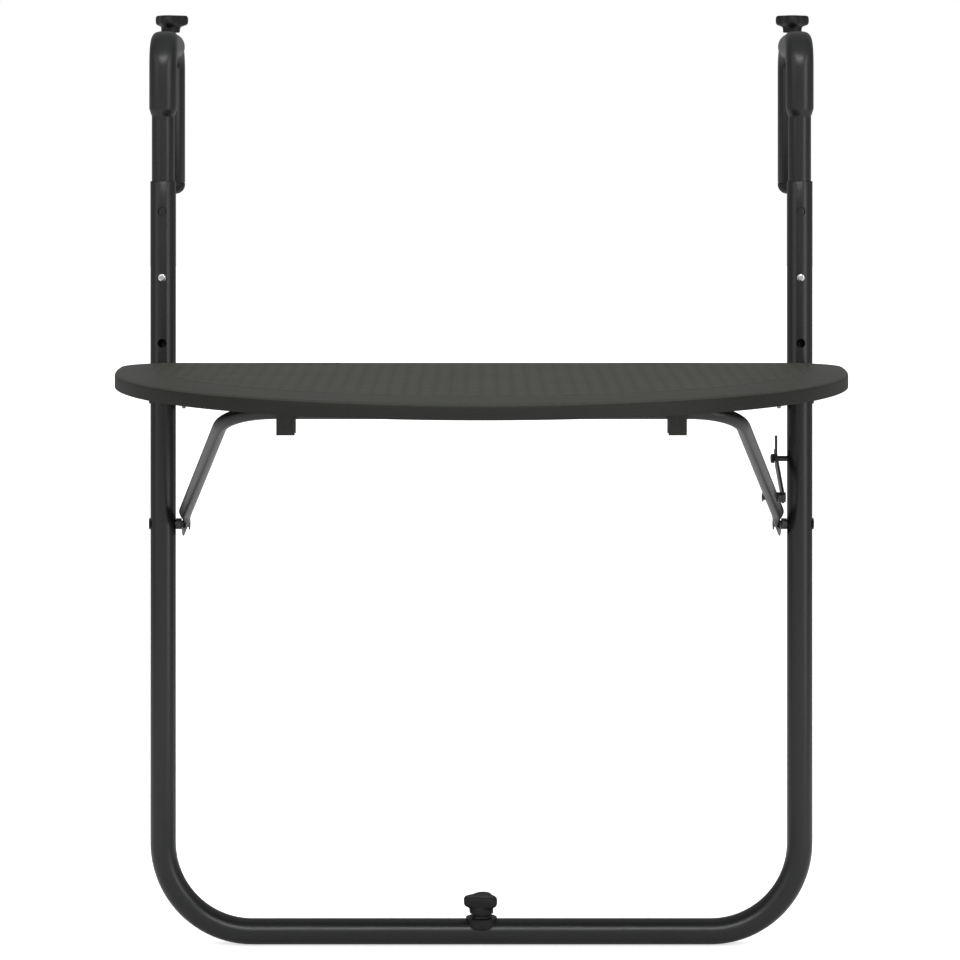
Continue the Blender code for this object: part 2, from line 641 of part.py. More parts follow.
def make_rear_leg(side, sign):
    """Leg tube that telescopes in the arm, and the domed plug in its lower end."""
    x = sign * FRAME_HALF_SPACING
    corners = [(x, LEG_INNER_END_Y, ARM_Z), (x, LEG_Y, ARM_Z), (x, LEG_Y, LEG_END_Z)]
    points = bent_path(corners, LEG_BEND_R)
    leg = swept_rod(f"{side}_rear_leg", points, [LEG_R] * len(points), TUBE_RESOLUTION, PARTS)
    corners[0] = (x, LEG_INNER_END_Y - LEG_WALL, ARM_Z)
    corners[2] = (x, LEG_Y, LEG_END_Z - LEG_WALL)
    inner = bent_path(corners, LEG_BEND_R)
    bore = swept_rod(f"{side}_leg_bore", inner, [LEG_R - LEG_WALL] * len(inner), TUBE_RESOLUTION, CUTTERS)
    cut(leg, as_cutter(bore))
    finish(leg, POWDER_COAT, (x, LEG_INNER_END_Y, ARM_Z))

    plug_r = LEG_R - LEG_WALL - FIT
    profile = dome_profile(LEG_R, LEG_CAP_DOME - LEG_CAP_RIM, LEG_CAP_RIM, 4)
    profile += [(LEG_R, 0), (plug_r, 0), (plug_r, -LEG_CAP_PLUG + 0.001), (plug_r - 0.001, -LEG_CAP_PLUG),
                (0, -LEG_CAP_PLUG)]
    cap = turned(f"{side}_leg_cap", profile, (x, LEG_Y, LEG_END_Z - FIT), (0, 0, -1), ROUND_SIDES, PARTS)
    finish(cap, BLACK_PLASTIC)


def lobed_ring(shape, mean_r, lobe, z, turn_deg):
    """One ring of points whose radius swells three times around the circle."""
    ring = []
    for index in range(KNOB_SIDES):
        angle = 2 * math.pi * index / KNOB_SIDES
        radius = mean_r + lobe * math.cos(3 * (angle - math.radians(turn_deg)))
        ring.append(shape.verts.new((radius * math.cos(angle), radius * math.sin(angle), z)))
    return ring


def make_knob(name, place, screw_d, recess_d, recess_h, hub_d, turn_deg):
    """Three-lobed clamp knob: recess over the boss, blind hole for the screw, hub, head, dished top."""
    top = KNOB_HUB_H + KNOB_HEAD_H
    hole_r = screw_d / 2 + FIT
    hole_top = recess_h + KNOB_SCREW_DEPTH
    sections = [
        (hole_r, 0, hole_top),
        (hole_r, 0, recess_h),
        (recess_d / 2, 0, recess_h),
        (recess_d / 2, 0, 0),
        (hub_d / 2, 0, 0),
        (hub_d / 2 + 0.0002, KNOB_LOBE * 0.15, KNOB_HUB_H * 0.70),
        (hub_d / 2 + 0.0010, KNOB_LOBE * 0.5, KNOB_HUB_H),
        (KNOB_MEAN_R - 0.0012, KNOB_LOBE, KNOB_HUB_H + 0.0014),
        (KNOB_MEAN_R, KNOB_LOBE, KNOB_HUB_H + 0.0030),
        (KNOB_MEAN_R, KNOB_LOBE, top - 0.0016),
        (KNOB_MEAN_R - 0.0010, KNOB_LOBE, top - 0.0003),
        (KNOB_MEAN_R - 0.0030, KNOB_LOBE * 0.8, top),
        (KNOB_MEAN_R * 0.45, 0, top - 0.0006),
    ]
    shape = bmesh.new()
    rings = [lobed_ring(shape, *section, turn_deg) for section in sections]
    for lower, upper in zip(rings, rings[1:]):
        for index in range(KNOB_SIDES):
            after = (index + 1) % KNOB_SIDES
            shape.faces.new((lower[index], lower[after], upper[after], upper[index]))
    shape.faces.new(list(reversed(rings[0])))
    shape.faces.new(rings[-1])
    bmesh.ops.recalc_face_normals(shape, faces=shape.faces)
    knob = object_from(shape, name, PARTS)
    knob.location = place
    bpy.context.view_layer.update()
    return finish(knob, BLACK_PLASTIC)


def make_clamp(side, sign, turn_deg):
    """Knob, its moulded-in screw and the pressure pad on the screw's tip."""
    x = sign * FRAME_HALF_SPACING
    pad_low = ARM_Z + LEG_R + FIT
    screw_low = pad_low + CLAMP_PAD_H + FIT
    knob_low = ARM_TOP_Z + FIT
    recess_h = CLAMP_BOSS_H + FIT
    screw_top = knob_low + recess_h + KNOB_SCREW_DEPTH - FIT
    pad_r = CLAMP_SCREW_D / 2
    pad_profile = [(0, CLAMP_PAD_H), (pad_r, CLAMP_PAD_H), (pad_r, 0.0004), (pad_r - 0.0004, 0), (0, 0)]
    pad = turned(f"{side}_clamp_pad", pad_profile, (x, CLAMP_Y, pad_low), (0, 0, 1), SMALL_SIDES, PARTS)
    finish(pad, BRASS)
    screw_profile = [(0, screw_top), (pad_r, screw_top), (pad_r, screw_low + 0.0004),
                     (pad_r - 0.0004, screw_low), (0, screw_low)]
    screw = turned(f"{side}_clamp_screw", screw_profile, (x, CLAMP_Y, 0), (0, 0, 1), SMALL_SIDES, PARTS)
    finish(screw, DARK_ZINC)
    make_knob(f"{side}_clamp_knob", (x, CLAMP_Y, knob_low), CLAMP_SCREW_D, CLAMP_BOSS_D + 2 * FIT,
              recess_h, KNOB_HUB_D, turn_deg)


def top_outline(inset, steps):
    """Rim of the tabletop: straight back, round rear corners, half an ellipse in front."""
    half = TOP_HALF_WIDTH - inset
    depth = TOP_WIDEST_Y - TOP_FRONT_Y - inset
    back = TOP_BACK_Y - inset
    radius = TOP_CORNER_R - inset
    points = arc((half - radius, back - radius), radius, 90, 0, 4)
    for step in range(steps + 1):
        angle = math.pi * step / steps
        points.append((half * math.cos(angle), TOP_WIDEST_Y - depth * math.sin(angle)))
    points += arc((-half + radius, back - radius), radius, 180, 90, 4)
    return points


def tabletop_blank():
    """The outer form of the moulding, ring by ring: skirt, rounded edge, sloping border, flat field."""
    border_z = TOP_Z - TOP_BORDER_DROP
    rings = [(0.0, UNDERSIDE_Z)]
    for step in range(4):
        angle = math.pi / 2 * step / 3
        rings.append((TOP_EDGE_R * (1 - math.cos(angle)), border_z - TOP_EDGE_R * (1 - math.sin(angle))))
    rings.append((TOP_BORDER_W, TOP_Z))
    shape = bmesh.new()
    rows = []
    for inset, z in rings:
        rows.append([shape.verts.new((x, y, z)) for x, y in top_outline(inset, TOP_ARC_STEPS)])
    count = len(rows[0])
    for lower, upper in zip(rows, rows[1:]):
        for index in range(count):
            after = (index + 1) % count
            shape.faces.new((lower[index], lower[after], upper[after], upper[index]))
    shape.faces.new(rows[0])
    shape.faces.new(rows[-1])
    bmesh.ops.recalc_face_normals(shape, faces=shape.faces)
    return object_from(shape, "tabletop_panel", PARTS)


def make_tabletop():
    """One moulding: panel, skirt, ribs and the pads that take the screws."""
    panel = tabletop_blank()
    hollow = flat_plate("tabletop_hollow", [top_outline(TOP_SKIRT_T, TOP_ARC_STEPS)],
                        UNDERSIDE_Z - TOP_SKIRT_T, TOP_SKIRT_H - TOP_PANEL_T + TOP_SKIRT_T, LEVEL, CUTTERS)
    cut(panel, as_cutter(hollow))

    rib_low = PANEL_LOW_Z - RIB_H
    rib_high = PANEL_LOW_Z + TOP_PANEL_T / 2
    for index in range(-2, 3):
        x = index * RIB_X_SPACING
        reach = TOP_HALF_WIDTH - TOP_SKIRT_T / 2
        front = TOP_WIDEST_Y - (TOP_WIDEST_Y - TOP_FRONT_Y - TOP_SKIRT_T / 2) * math.sqrt(1 - (x / reach) ** 2)
        join(panel, box_object(f"long_rib_{index + 2}", (x - RIB_T / 2, front, rib_low),
                               (x + RIB_T / 2, TOP_BACK_Y - TOP_SKIRT_T / 2, rib_high), CUTTERS))
    for index in range(1, 4):
        y = TOP_WIDEST_Y - index * RIB_Y_SPACING
        share = (TOP_WIDEST_Y - y) / (TOP_WIDEST_Y - TOP_FRONT_Y - TOP_SKIRT_T / 2)
        half = (TOP_HALF_WIDTH - TOP_SKIRT_T / 2) * math.sqrt(1 - share ** 2)
        join(panel, box_object(f"cross_rib_{index}", (-half, y - RIB_T / 2, rib_low),
                               (half, y + RIB_T / 2, rib_high), CUTTERS))
    for side, sign in SIDES:
        half_clip = (CLIP_WIDTH / 2 + PAD_MARGIN, CLIP_BASE_LENGTH / 2 + PAD_MARGIN)
        pads = {
            "bracket_pad": (EAR_INNER_X - PAD_MARGIN, FLANGE_OUTER_X + PAD_MARGIN,
                            EAR_FRONT_Y - PAD_MARGIN, FLANGE_BACK_Y, UNDERSIDE_Z),
            "clip_pad": (CLIP_X - half_clip[0], CLIP_X + half_clip[0],
                         BRACE_BAR_Y - half_clip[1], BRACE_BAR_Y + half_clip[1], CLIP_TOP_Z + FIT),
        }
        for label, (near_x, far_x, near_y, far_y, low) in pads.items():
            xs = sorted((sign * near_x, sign * far_x))
            join(panel, box_object(f"{side}_{label}", (xs[0], near_y, low), (xs[1], far_y, rib_high), CUTTERS))
    for name, x, y, head_z in screw_places():
        cut(panel, rod_cutter(f"{name}_hole", (x, y, head_z), (x, y, head_z + TOP_SCREW_LENGTH + FIT),
                              TOP_SCREW_D + 2 * FIT, 12))
    for side, sign in SIDES:
        low = sign * GRIP_X - GRIP_LENGTH / 2
        high = sign * GRIP_X + GRIP_LENGTH / 2
        outline = [(y, x) for x, y in slot_outline(low, high, GRIP_Y, GRIP_WIDTH, 6)]
        grip = flat_plate(f"{side}_grip_recess", [outline], TOP_Z - GRIP_DEPTH, 2 * GRIP_DEPTH, LEVEL, CUTTERS)
        cut(panel, as_cutter(grip))
    return finish(panel, RATTAN_PLASTIC, (0, 0, HINGE_Z))


def screw_places():
    """Every screw that goes up into the tabletop: its name, x, y and the height under its head."""
    places = []
    flange_x = (UPRIGHT_INNER_X + FLANGE_OUTER_X) / 2
    for side, sign in SIDES:
        for place, y in zip(("front", "rear"), BRACKET_SCREW_YS):
            places.append((f"{side}_{place}_bracket_screw", sign * flange_x, y, FLANGE_Z - EAR_T - FIT))
        for place, offset in (("front", -CLIP_SCREW_OFFSET), ("rear", CLIP_SCREW_OFFSET)):
            places.append((f"{side}_{place}_clip_screw", sign * CLIP_X, BRACE_BAR_Y + offset,
                           CLIP_BASE_LOW_Z - FIT))
    return places


def make_top_screws():
    """Screws that hold the hinge brackets and the clips under the tabletop."""
    for name, x, y, head_z in screw_places():
        profile = dome_profile(TOP_SCREW_HEAD_D / 2, TOP_SCREW_HEAD_H, 0.0, 2)
        profile += [(TOP_SCREW_D / 2, 0.0), (TOP_SCREW_D / 2, -TOP_SCREW_LENGTH + 0.001),
                    (0.0, -TOP_SCREW_LENGTH)]
        finish(turned(name, profile, (x, y, head_z), (0, 0, -1), 12, PARTS), DARK_ZINC)


def make_hinge_bracket(side, sign):
    """Pressed steel bracket: an ear on the hinge bolt and a flange under the tabletop."""
    hinge = (0.0, HINGE_Z)
    outline = [(EAR_FRONT_Y, FLANGE_Z), (EAR_FRONT_Y, FLANGE_Z - EAR_FRONT_H)]
    outline += arc(hinge, EAR_R, 245, 440, 14)
    outline.append((FLANGE_BACK_Y, FLANGE_Z))
    ear_low = sign * EAR_INNER_X if sign > 0 else sign * EAR_OUTER_X
    ear = flat_plate(f"{side}_hinge_bracket", [outline, circle(hinge, BOLT_D + 2 * FIT, SMALL_SIDES)],
                     ear_low, EAR_T, ACROSS_X, PARTS)
    xs = sorted((sign * EAR_INNER_X, sign * FLANGE_OUTER_X))
    flange = box_object(f"{side}_bracket_flange", (xs[0], EAR_FRONT_Y, FLANGE_Z - EAR_T),
                        (xs[1], FLANGE_BACK_Y, FLANGE_Z), CUTTERS)
    join(ear, flange)
    for y in BRACKET_SCREW_YS:
        x = sign * (UPRIGHT_INNER_X + FLANGE_OUTER_X) / 2
        cut(ear, rod_cutter(f"{side}_flange_hole_{abs(round(y * 1000))}", (x, y, FLANGE_Z - 3 * EAR_T),
                            (x, y, FLANGE_Z + EAR_T), TOP_SCREW_D + 2 * FIT, 12))
    finish(ear, DARK_ZINC, (sign * EAR_INNER_X, 0, HINGE_Z))


def make_bar_clip(side, sign):
    """Plastic snap clip: a base with two springy legs around the bar of the brace."""
    low_x = sign * CLIP_X - CLIP_WIDTH / 2
    base_low = CLIP_BASE_LOW_Z
    end_low = base_low + CLIP_END_RISE
    half_base = CLIP_BASE_LENGTH / 2
    half_body = CLIP_BODY_LENGTH / 2
    bore_r = BRACE_D / 2 + FIT
    half_mouth = CLIP_MOUTH / 2
    mouth_z = BAR_Z - math.sqrt(bore_r ** 2 - half_mouth ** 2)
    mouth_deg = math.degrees(math.atan2(BAR_Z - mouth_z, half_mouth))
    lip = half_body - 0.0022
    outline = [(BRACE_BAR_Y - half_base, CLIP_TOP_Z), (BRACE_BAR_Y - half_base, end_low),
               (BRACE_BAR_Y - half_body, base_low), (BRACE_BAR_Y - half_body, CLIP_BOTTOM_Z),
               (BRACE_BAR_Y - lip, CLIP_BOTTOM_Z), (BRACE_BAR_Y - half_mouth, mouth_z - 0.002)]
    outline += arc((BRACE_BAR_Y, BAR_Z), bore_r, 180 + mouth_deg, -mouth_deg, 16)
    outline += [(BRACE_BAR_Y + half_mouth, mouth_z - 0.002), (BRACE_BAR_Y + lip, CLIP_BOTTOM_Z),
                (BRACE_BAR_Y + half_body, CLIP_BOTTOM_Z), (BRACE_BAR_Y + half_body, base_low),
                (BRACE_BAR_Y + half_base, end_low), (BRACE_BAR_Y + half_base, CLIP_TOP_Z)]
    clip = flat_plate(f"{side}_bar_clip", [outline], low_x, CLIP_WIDTH, ACROSS_X, PARTS)
    for offset in (-CLIP_SCREW_OFFSET, CLIP_SCREW_OFFSET):
        y = BRACE_BAR_Y + offset
        cut(clip, rod_cutter(f"{side}_clip_hole_{abs(round(y * 1000))}", (sign * CLIP_X, y, base_low - 0.002),
                             (sign * CLIP_X, y, CLIP_TOP_Z + 0.002), TOP_SCREW_D + 2 * FIT, 12))
    finish(clip, BLACK_PLASTIC)


def brace_way(sign):
    """Pivot point and unit direction of one leg of the brace, from the pivot to the bar."""
    pivot = Vector((sign * BRACE_PIVOT_X, 0, BRACE_PIVOT_Z))
    corner = Vector((sign * BRACE_CORNER_X, BRACE_BAR_Y, BAR_Z))
    return pivot, corner, (corner - pivot).normalized()


def flatten_ends(rod):
    """Press the two ends of the brace flat against their inner side, blending into the round tube."""
    up = Vector((0, -(BAR_Z - BRACE_PIVOT_Z), BRACE_BAR_Y)).normalized()
    radius = BRACE_D / 2
    for vertex in rod.data.vertices:
        sign = 1 if vertex.co.x > 0 else -1
        pivot, _, way = brace_way(sign)
        from_tip = (vertex.co - pivot).dot(way) + BRACE_END
        if from_tip > BRACE_LUG_LENGTH + BRACE_LUG_TAPER:
            continue
        share = 1 - max(0.0, from_tip - BRACE_LUG_LENGTH) / BRACE_LUG_TAPER
        share = share * share * (3 - 2 * share)
        outward = up.cross(way)
        if outward.x * sign < 0:
            outward = -outward
        centre = pivot + way * (from_tip - BRACE_END)
        thin = (vertex.co - centre).dot(outward)
        wide = (vertex.co - centre).dot(up)
        pressed = -radius + (thin + radius) * BRACE_LUG_T / BRACE_D
        spread = wide * BRACE_LUG_WIDTH / BRACE_D
        vertex.co = (centre + outward * (thin + (pressed - thin) * share)
                     + up * (wide + (spread - wide) * share))


def make_brace():
    """Brace tube: flattened ends on the pivot bolts, bent to a bar that carries the tabletop."""
    left_pivot, left_corner, left_way = brace_way(-1)
    right_pivot, right_corner, right_way = brace_way(1)
    path = bent_path([left_pivot - left_way * BRACE_END, left_corner, right_corner,
                      right_pivot - right_way * BRACE_END], BRACE_BEND_R)
    marks = (BRACE_LUG_LENGTH, BRACE_LUG_LENGTH + BRACE_LUG_TAPER * 0.33,
             BRACE_LUG_LENGTH + BRACE_LUG_TAPER * 0.67, BRACE_LUG_LENGTH + BRACE_LUG_TAPER)
    points = [path[0]] + [path[0] + left_way * mark for mark in marks] + path[1:-1]
    points += [path[-1] + right_way * mark for mark in reversed(marks)] + [path[-1]]
    brace = swept_rod("brace_tube", points, [BRACE_D / 2] * len(points), SMALL_TUBE_RESOLUTION, PARTS)
    flatten_ends(brace)

    start = path[0] + left_way * (marks[-1] + BRACE_WALL)
    end = path[-1] + right_way * (marks[-1] + BRACE_WALL)
    inner = [start] + path[1:-1] + [end]
    bore = swept_rod("brace_bore", inner, [BRACE_D / 2 - BRACE_WALL] * len(inner),
                     SMALL_TUBE_RESOLUTION, CUTTERS)
    cut(brace, as_cutter(bore))
    vent = rod_cutter("brace_vent", (0, BRACE_BAR_Y, BAR_Z - BRACE_D), (0, BRACE_BAR_Y, BAR_Z),
                      BRACE_VENT_D, 12)
    cut(brace, vent)
    for side, sign in SIDES:
        reach = (sign * (BRACE_PIVOT_X - BRACE_D), sign * (BRACE_PIVOT_X + BRACE_D))
        cut(brace, rod_cutter(f"{side}_lug_hole", (reach[0], 0, BRACE_PIVOT_Z), (reach[1], 0, BRACE_PIVOT_Z),
                              BOLT_D + 2 * FIT, SMALL_SIDES))
    cross = rod_cutter("latch_bolt_hole", (latch_leg_x() - BRACE_D, LATCH_PIVOT_Y, LATCH_PIVOT_Z),
                       (latch_leg_x() + BRACE_D, LATCH_PIVOT_Y, LATCH_PIVOT_Z),
                       LATCH_BOLT_D + 2 * FIT, SMALL_SIDES)
    cut(brace, cross)
    finish(brace, POWDER_COAT, (0, 0, BRACE_PIVOT_Z))


def latch_leg_x():
    """Where the axis of the right leg is at the latch bolt."""
    share = LATCH_PIVOT_Y / BRACE_BAR_Y
    return BRACE_PIVOT_X + (BRACE_CORNER_X - BRACE_PIVOT_X) * share


def make_latch():
    """Latch plate with its notch over the pin, and the bolt, spacer and push-on ring that carry it."""
    length = math.hypot(LATCH_PIVOT_Y, LATCH_PIN_Z - LATCH_PIVOT_Z)
    slope = math.atan2(LATCH_PIN_Z - LATCH_PIVOT_Z, -LATCH_PIVOT_Y)
    pin_r = LATCH_PIN_D / 2
    half = LATCH_HALF_WIDTH
    notch_front = length - pin_r - FIT
    notch_back = length + pin_r + LATCH_NOTCH_PLAY
    nose_end = notch_back + LATCH_NOSE
    lean = (math.sin(slope), math.cos(slope))
    handle_start = (length - LATCH_HANDLE_W / 2, half)
    handle_tip = (handle_start[0] + lean[0] * LATCH_HANDLE_H, half + lean[1] * LATCH_HANDLE_H)
    outline = arc((0, 0), half, 90, 270, 8)
    outline += [(notch_front, -half), (notch_front, pin_r + FIT), (notch_back, pin_r + FIT),
                (notch_back, -pin_r), (nose_end, -pin_r + 0.001), (nose_end, half - 0.001),
                (handle_start[0] + LATCH_HANDLE_W, half + 0.001),
                (handle_tip[0] + lean[1] * LATCH_HANDLE_W, handle_tip[1] - lean[0] * LATCH_HANDLE_W),
                handle_tip, handle_start]
    turn = Matrix.Translation((0, LATCH_PIVOT_Y, LATCH_PIVOT_Z)) @ Matrix.Rotation(slope, 4, "X") @ ACROSS_X
    plate = flat_plate("latch_arm", [outline, circle((0, 0), LATCH_BOLT_D + 2 * FIT, SMALL_SIDES)],
                       LATCH_INNER_X, LATCH_T, turn, PARTS)
    finish(plate, DARK_ZINC, (LATCH_INNER_X, LATCH_PIVOT_Y, LATCH_PIVOT_Z))

    leg_x = latch_leg_x()
    way = brace_way(1)[2]
    half_x = BRACE_D / 2 / math.sqrt(1 - way.x ** 2)
    rise = abs(way.x) / math.sqrt(1 - way.x ** 2) * SPACER_D / 2
    place = (LATCH_INNER_X - FIT, LATCH_PIVOT_Y, LATCH_PIVOT_Z)
    spacer = turned("latch_spacer", ring_profile(LATCH_BOLT_D + 2 * FIT, SPACER_D - 0.001, 0.0,
                                                 place[0] - leg_x),
                    place, (-1, 0, 0), SMALL_SIDES, PARTS, closed=True)
    middle = Vector((leg_x, LATCH_PIVOT_Y, LATCH_PIVOT_Z))
    cut(spacer, rod_cutter("spacer_saddle", middle - way * 0.03, middle + way * 0.03, BRACE_D + 2 * FIT, 36))
    finish(spacer, DARK_ZINC)
    head_x = leg_x - half_x - rise - FIT
    ring_x = LATCH_OUTER_X + FIT
    headed_pin("latch_bolt", (head_x, LATCH_PIVOT_Y, LATCH_PIVOT_Z), (-1, 0, 0), LATCH_BOLT_D,
               ring_x - head_x + LATCH_RETAINER_T, LATCH_BOLT_HEAD_D, LATCH_BOLT_HEAD_H, DARK_ZINC)
    collar("latch_retainer", (ring_x, LATCH_PIVOT_Y, LATCH_PIVOT_Z), (1, 0, 0), LATCH_BOLT_D + 2 * FIT,
           LATCH_RETAINER_D, LATCH_RETAINER_T, DARK_ZINC)


def make_railing_stop():
    """Adjustable stop on the bottom tube: saddle, slotted plate, buffer, washer, screw and knob."""
    clear_d = STOP_SCREW_D + 2 * FIT
    saddle = turned("stop_saddle", ring_profile(clear_d, STOP_SADDLE_D, STOP_SADDLE_LOW_Z, STOP_SEAT_Z),
                    (0, 0, 0), (0, 0, 1), 30, PARTS, closed=True)
    reach = STOP_SADDLE_D
    cut(saddle, rod_cutter("saddle_groove", (-reach, 0, BOTTOM_AXIS_Z), (reach, 0, BOTTOM_AXIS_Z),
                           FRAME_TUBE_D + 2 * FIT, 36))
    finish(saddle, BLACK_PLASTIC)

    half = STOP_PLATE_W / 2
    back = STOP_TAB_Y + STOP_PLATE_T
    rim = [(-half, back), (-half, STOP_FRONT_Y + half * 0.6)]
    rim += [(-half * 0.6, STOP_FRONT_Y), (half * 0.6, STOP_FRONT_Y)]
    rim += [(half, STOP_FRONT_Y + half * 0.6), (half, back)]
    slot = slot_outline(-clear_d / 2, STOP_TRAVEL + clear_d / 2, 0.0, clear_d, 8)
    plate = flat_plate("stop_plate", [rim, slot], STOP_PLATE_Z, STOP_PLATE_T, LEVEL, PARTS)
    tab = box_object("stop_tab", (-half, STOP_TAB_Y, STOP_TAB_LOW_Z),
                     (half, back, STOP_PLATE_Z + STOP_PLATE_T / 2), CUTTERS)
    join(plate, tab)
    finish(plate, POWDER_COAT, (0, 0, STOP_PLATE_Z))

    pad = box_object("stop_pad", (-half, back + FIT, STOP_TAB_LOW_Z),
                     (half, back + FIT + STOP_PAD_T, STOP_PLATE_Z), PARTS)
    finish(round_edges(pad, 0.002, 2), RUBBER)
    weld_top = BOTTOM_AXIS_Z + math.sqrt(BORE_R ** 2 - (WELD_NUT_D / 2) ** 2) - FIT
    hexagon_nut("stop_weld_nut", (0, 0), (weld_top - WELD_NUT_H, weld_top), clear_d, WELD_NUT_D, LEVEL,
                DARK_ZINC)
    collar("stop_washer", (0, 0, STOP_WASHER_Z), (0, 0, 1), clear_d, STOP_WASHER_D, STOP_WASHER_T, DARK_ZINC)
    radius = STOP_SCREW_D / 2
    top = STOP_KNOB_Z + KNOB_SCREW_DEPTH + FIT
    profile = [(0, top), (radius, top), (radius, STOP_SCREW_LOW_Z + 0.0006),
               (radius - 0.0006, STOP_SCREW_LOW_Z), (0, STOP_SCREW_LOW_Z)]
    finish(turned("stop_screw", profile, (0, 0, 0), (0, 0, 1), SMALL_SIDES, PARTS), DARK_ZINC)
    make_knob("stop_knob", (0, 0, STOP_KNOB_Z), STOP_SCREW_D, clear_d + 0.002, 2 * FIT,
              STOP_KNOB_HUB_D, 200)


def hang_on_origin():
    """Parent every object to an empty that brings the railing seat to the world origin."""
    seat = bpy.data.objects.new("railing_seat", None)
    PARTS.objects.link(seat)
    seat.location = -RAILING_SEAT
    for collection in (PARTS, CUTTERS):
        for made in collection.objects:
            if made is not seat:
                made.parent = seat
    bpy.context.view_layer.update()


clear_scene()
PARTS = new_collection("balcony_table")
CUTTERS = new_collection("cutters")
POWDER_COAT = make_material("powder_coat", (0.030, 0.031, 0.032), 0.42, 0.0)
BLACK_PLASTIC = make_material("black_plastic", (0.014, 0.014, 0.014), 0.50, 0.0)
RATTAN_PLASTIC = make_material("rattan_plastic", (0.075, 0.078, 0.066), 0.60, 0.0)
BRIGHT_ZINC = make_material("bright_zinc", (0.62, 0.62, 0.60), 0.25, 1.0)
DARK_ZINC = make_material("dark_zinc", (0.035, 0.036, 0.036), 0.40, 0.0)
BRASS = make_material("brass", (0.55, 0.42, 0.18), 0.35, 1.0)
RUBBER = make_material("rubber", (0.016, 0.016, 0.016), 0.75, 0.0)

make_frame_tube()
for side_name, side_sign in SIDES:
    make_pivots(side_name, side_sign)
    make_hook(side_name, side_sign)
    make_button(side_name, side_sign)
    make_rear_leg(side_name, side_sign)
    make_clamp(side_name, side_sign, 20 if side_sign < 0 else 25)
    make_hinge_bracket(side_name, side_sign)
    make_bar_clip(side_name, side_sign)
make_latch_pin()
make_tabletop()
make_top_screws()
make_brace()
make_latch()
make_railing_stop()
hang_on_origin()
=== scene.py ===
"""Balcony table: the looks of a half-round folding table that hangs on a railing by two hooks."""
import math
import bpy
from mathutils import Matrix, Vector


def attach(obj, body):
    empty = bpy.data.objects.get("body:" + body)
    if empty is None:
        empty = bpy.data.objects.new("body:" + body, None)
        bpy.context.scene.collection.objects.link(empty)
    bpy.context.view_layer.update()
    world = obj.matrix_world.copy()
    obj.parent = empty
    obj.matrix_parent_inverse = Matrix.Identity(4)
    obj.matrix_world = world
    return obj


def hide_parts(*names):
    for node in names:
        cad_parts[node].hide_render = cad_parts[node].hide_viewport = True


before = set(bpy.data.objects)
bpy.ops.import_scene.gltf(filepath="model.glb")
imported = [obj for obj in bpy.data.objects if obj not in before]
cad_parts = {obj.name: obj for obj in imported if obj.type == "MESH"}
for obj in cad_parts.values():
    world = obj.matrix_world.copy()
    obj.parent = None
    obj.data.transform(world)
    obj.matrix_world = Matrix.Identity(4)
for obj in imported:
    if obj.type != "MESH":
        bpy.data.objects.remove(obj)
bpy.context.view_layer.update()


# Frame tube. The real piece is 23 mm steel tube with a 1 mm wall, bent into a U on a mandrel and
# powder coated in satin anthracite. Its open ends take the hook tubes; its front wall is drilled for
# the height buttons and its sides for the hinge bolts, the brace bolts and the latch pin.

class Signal:
    """One output of a shader node, so that shader maths reads as plain expressions."""

    def __init__(self, finish, socket):
        self.finish = finish
        self.socket = socket

    def maths(self, operation, *others):
        return self.finish.add("ShaderNodeMath", {"operation": operation}, [self, *others])

    def __add__(self, other):
        return self.maths("ADD", other)

    def __radd__(self, other):
        return self.maths("ADD", other)

    def __sub__(self, other):
        return self.maths("SUBTRACT", other)

    def __rsub__(self, other):
        return (self * -1) + other

    def __mul__(self, other):
        return self.maths("MULTIPLY", other)

    def __truediv__(self, other):
        return self.maths("DIVIDE", other)

    def __mod__(self, other):
        return self.maths("FLOORED_MODULO", other)

    def __gt__(self, other):
        return self.maths("GREATER_THAN", other)

    def __floor__(self):
        return self.maths("FLOOR")


class Finish:
    """A material under construction: a Principled shader and the nodes that feed it."""

    def __init__(self, name, **evenly):
        self.material = bpy.data.materials.new(name)
        self.material.use_nodes = True
        self.tree = self.material.node_tree
        self.shader = self.tree.nodes["Principled BSDF"]
        for socket, value in evenly.items():
            self.shader.inputs[socket.replace("_", " ")].default_value = value

    def add(self, kind, settings=(), inputs=(), output=0):
        node = self.tree.nodes.new(kind)
        for name, value in dict(settings).items():
            setattr(node, name, value)
        pairs = inputs.items() if isinstance(inputs, dict) else enumerate(inputs)
        for key, value in pairs:
            if isinstance(value, Signal):
                self.tree.links.new(value.socket, node.inputs[key])
            else:
                node.inputs[key].default_value = value
        return Signal(self, node.outputs[output])

    def place(self):
        return self.add("ShaderNodeTexCoord", output="Object")

    def noise(self, scale, detail=2.0, where=None):
        return self.add("ShaderNodeTexNoise", {}, {"Vector": where or self.place(), "Scale": scale,
                                                   "Detail": detail})

    def tint(self, first, second, amount):
        mix = {0: amount, 6: (*first, 1.0), 7: (*second, 1.0)}
        return self.add("ShaderNodeMix", {"data_type": "RGBA"}, mix, output=2)

    def relief(self, height, depth, strength=1.0):
        return self.add("ShaderNodeBump", {}, {"Height": height, "Distance": depth, "Strength": strength})

    def feed(self, **links):
        for socket, signal in links.items():
            self.tree.links.new(signal.socket, self.shader.inputs[socket.replace("_", " ")])
        return self.material


def powder_coat():
    """Satin powder coat: a fine orange-peel skin, a slight mottle and a trace of dust."""
    coat = Finish("powder coat", IOR=1.45, Specular_IOR_Level=0.50)
    peel = coat.noise(1500, 1.0)
    mottle = coat.noise(55, 3.0)
    dust = coat.noise(9, 4.0)
    colour = coat.tint((0.0066, 0.0073, 0.0070), (0.0098, 0.0107, 0.0102), mottle * 0.6 + dust * 0.4)
    return coat.feed(Base_Color=colour, Roughness=0.26 + dust * 0.08 + peel * 0.05,
                     Normal=coat.relief(peel, 0.00005, 0.5))


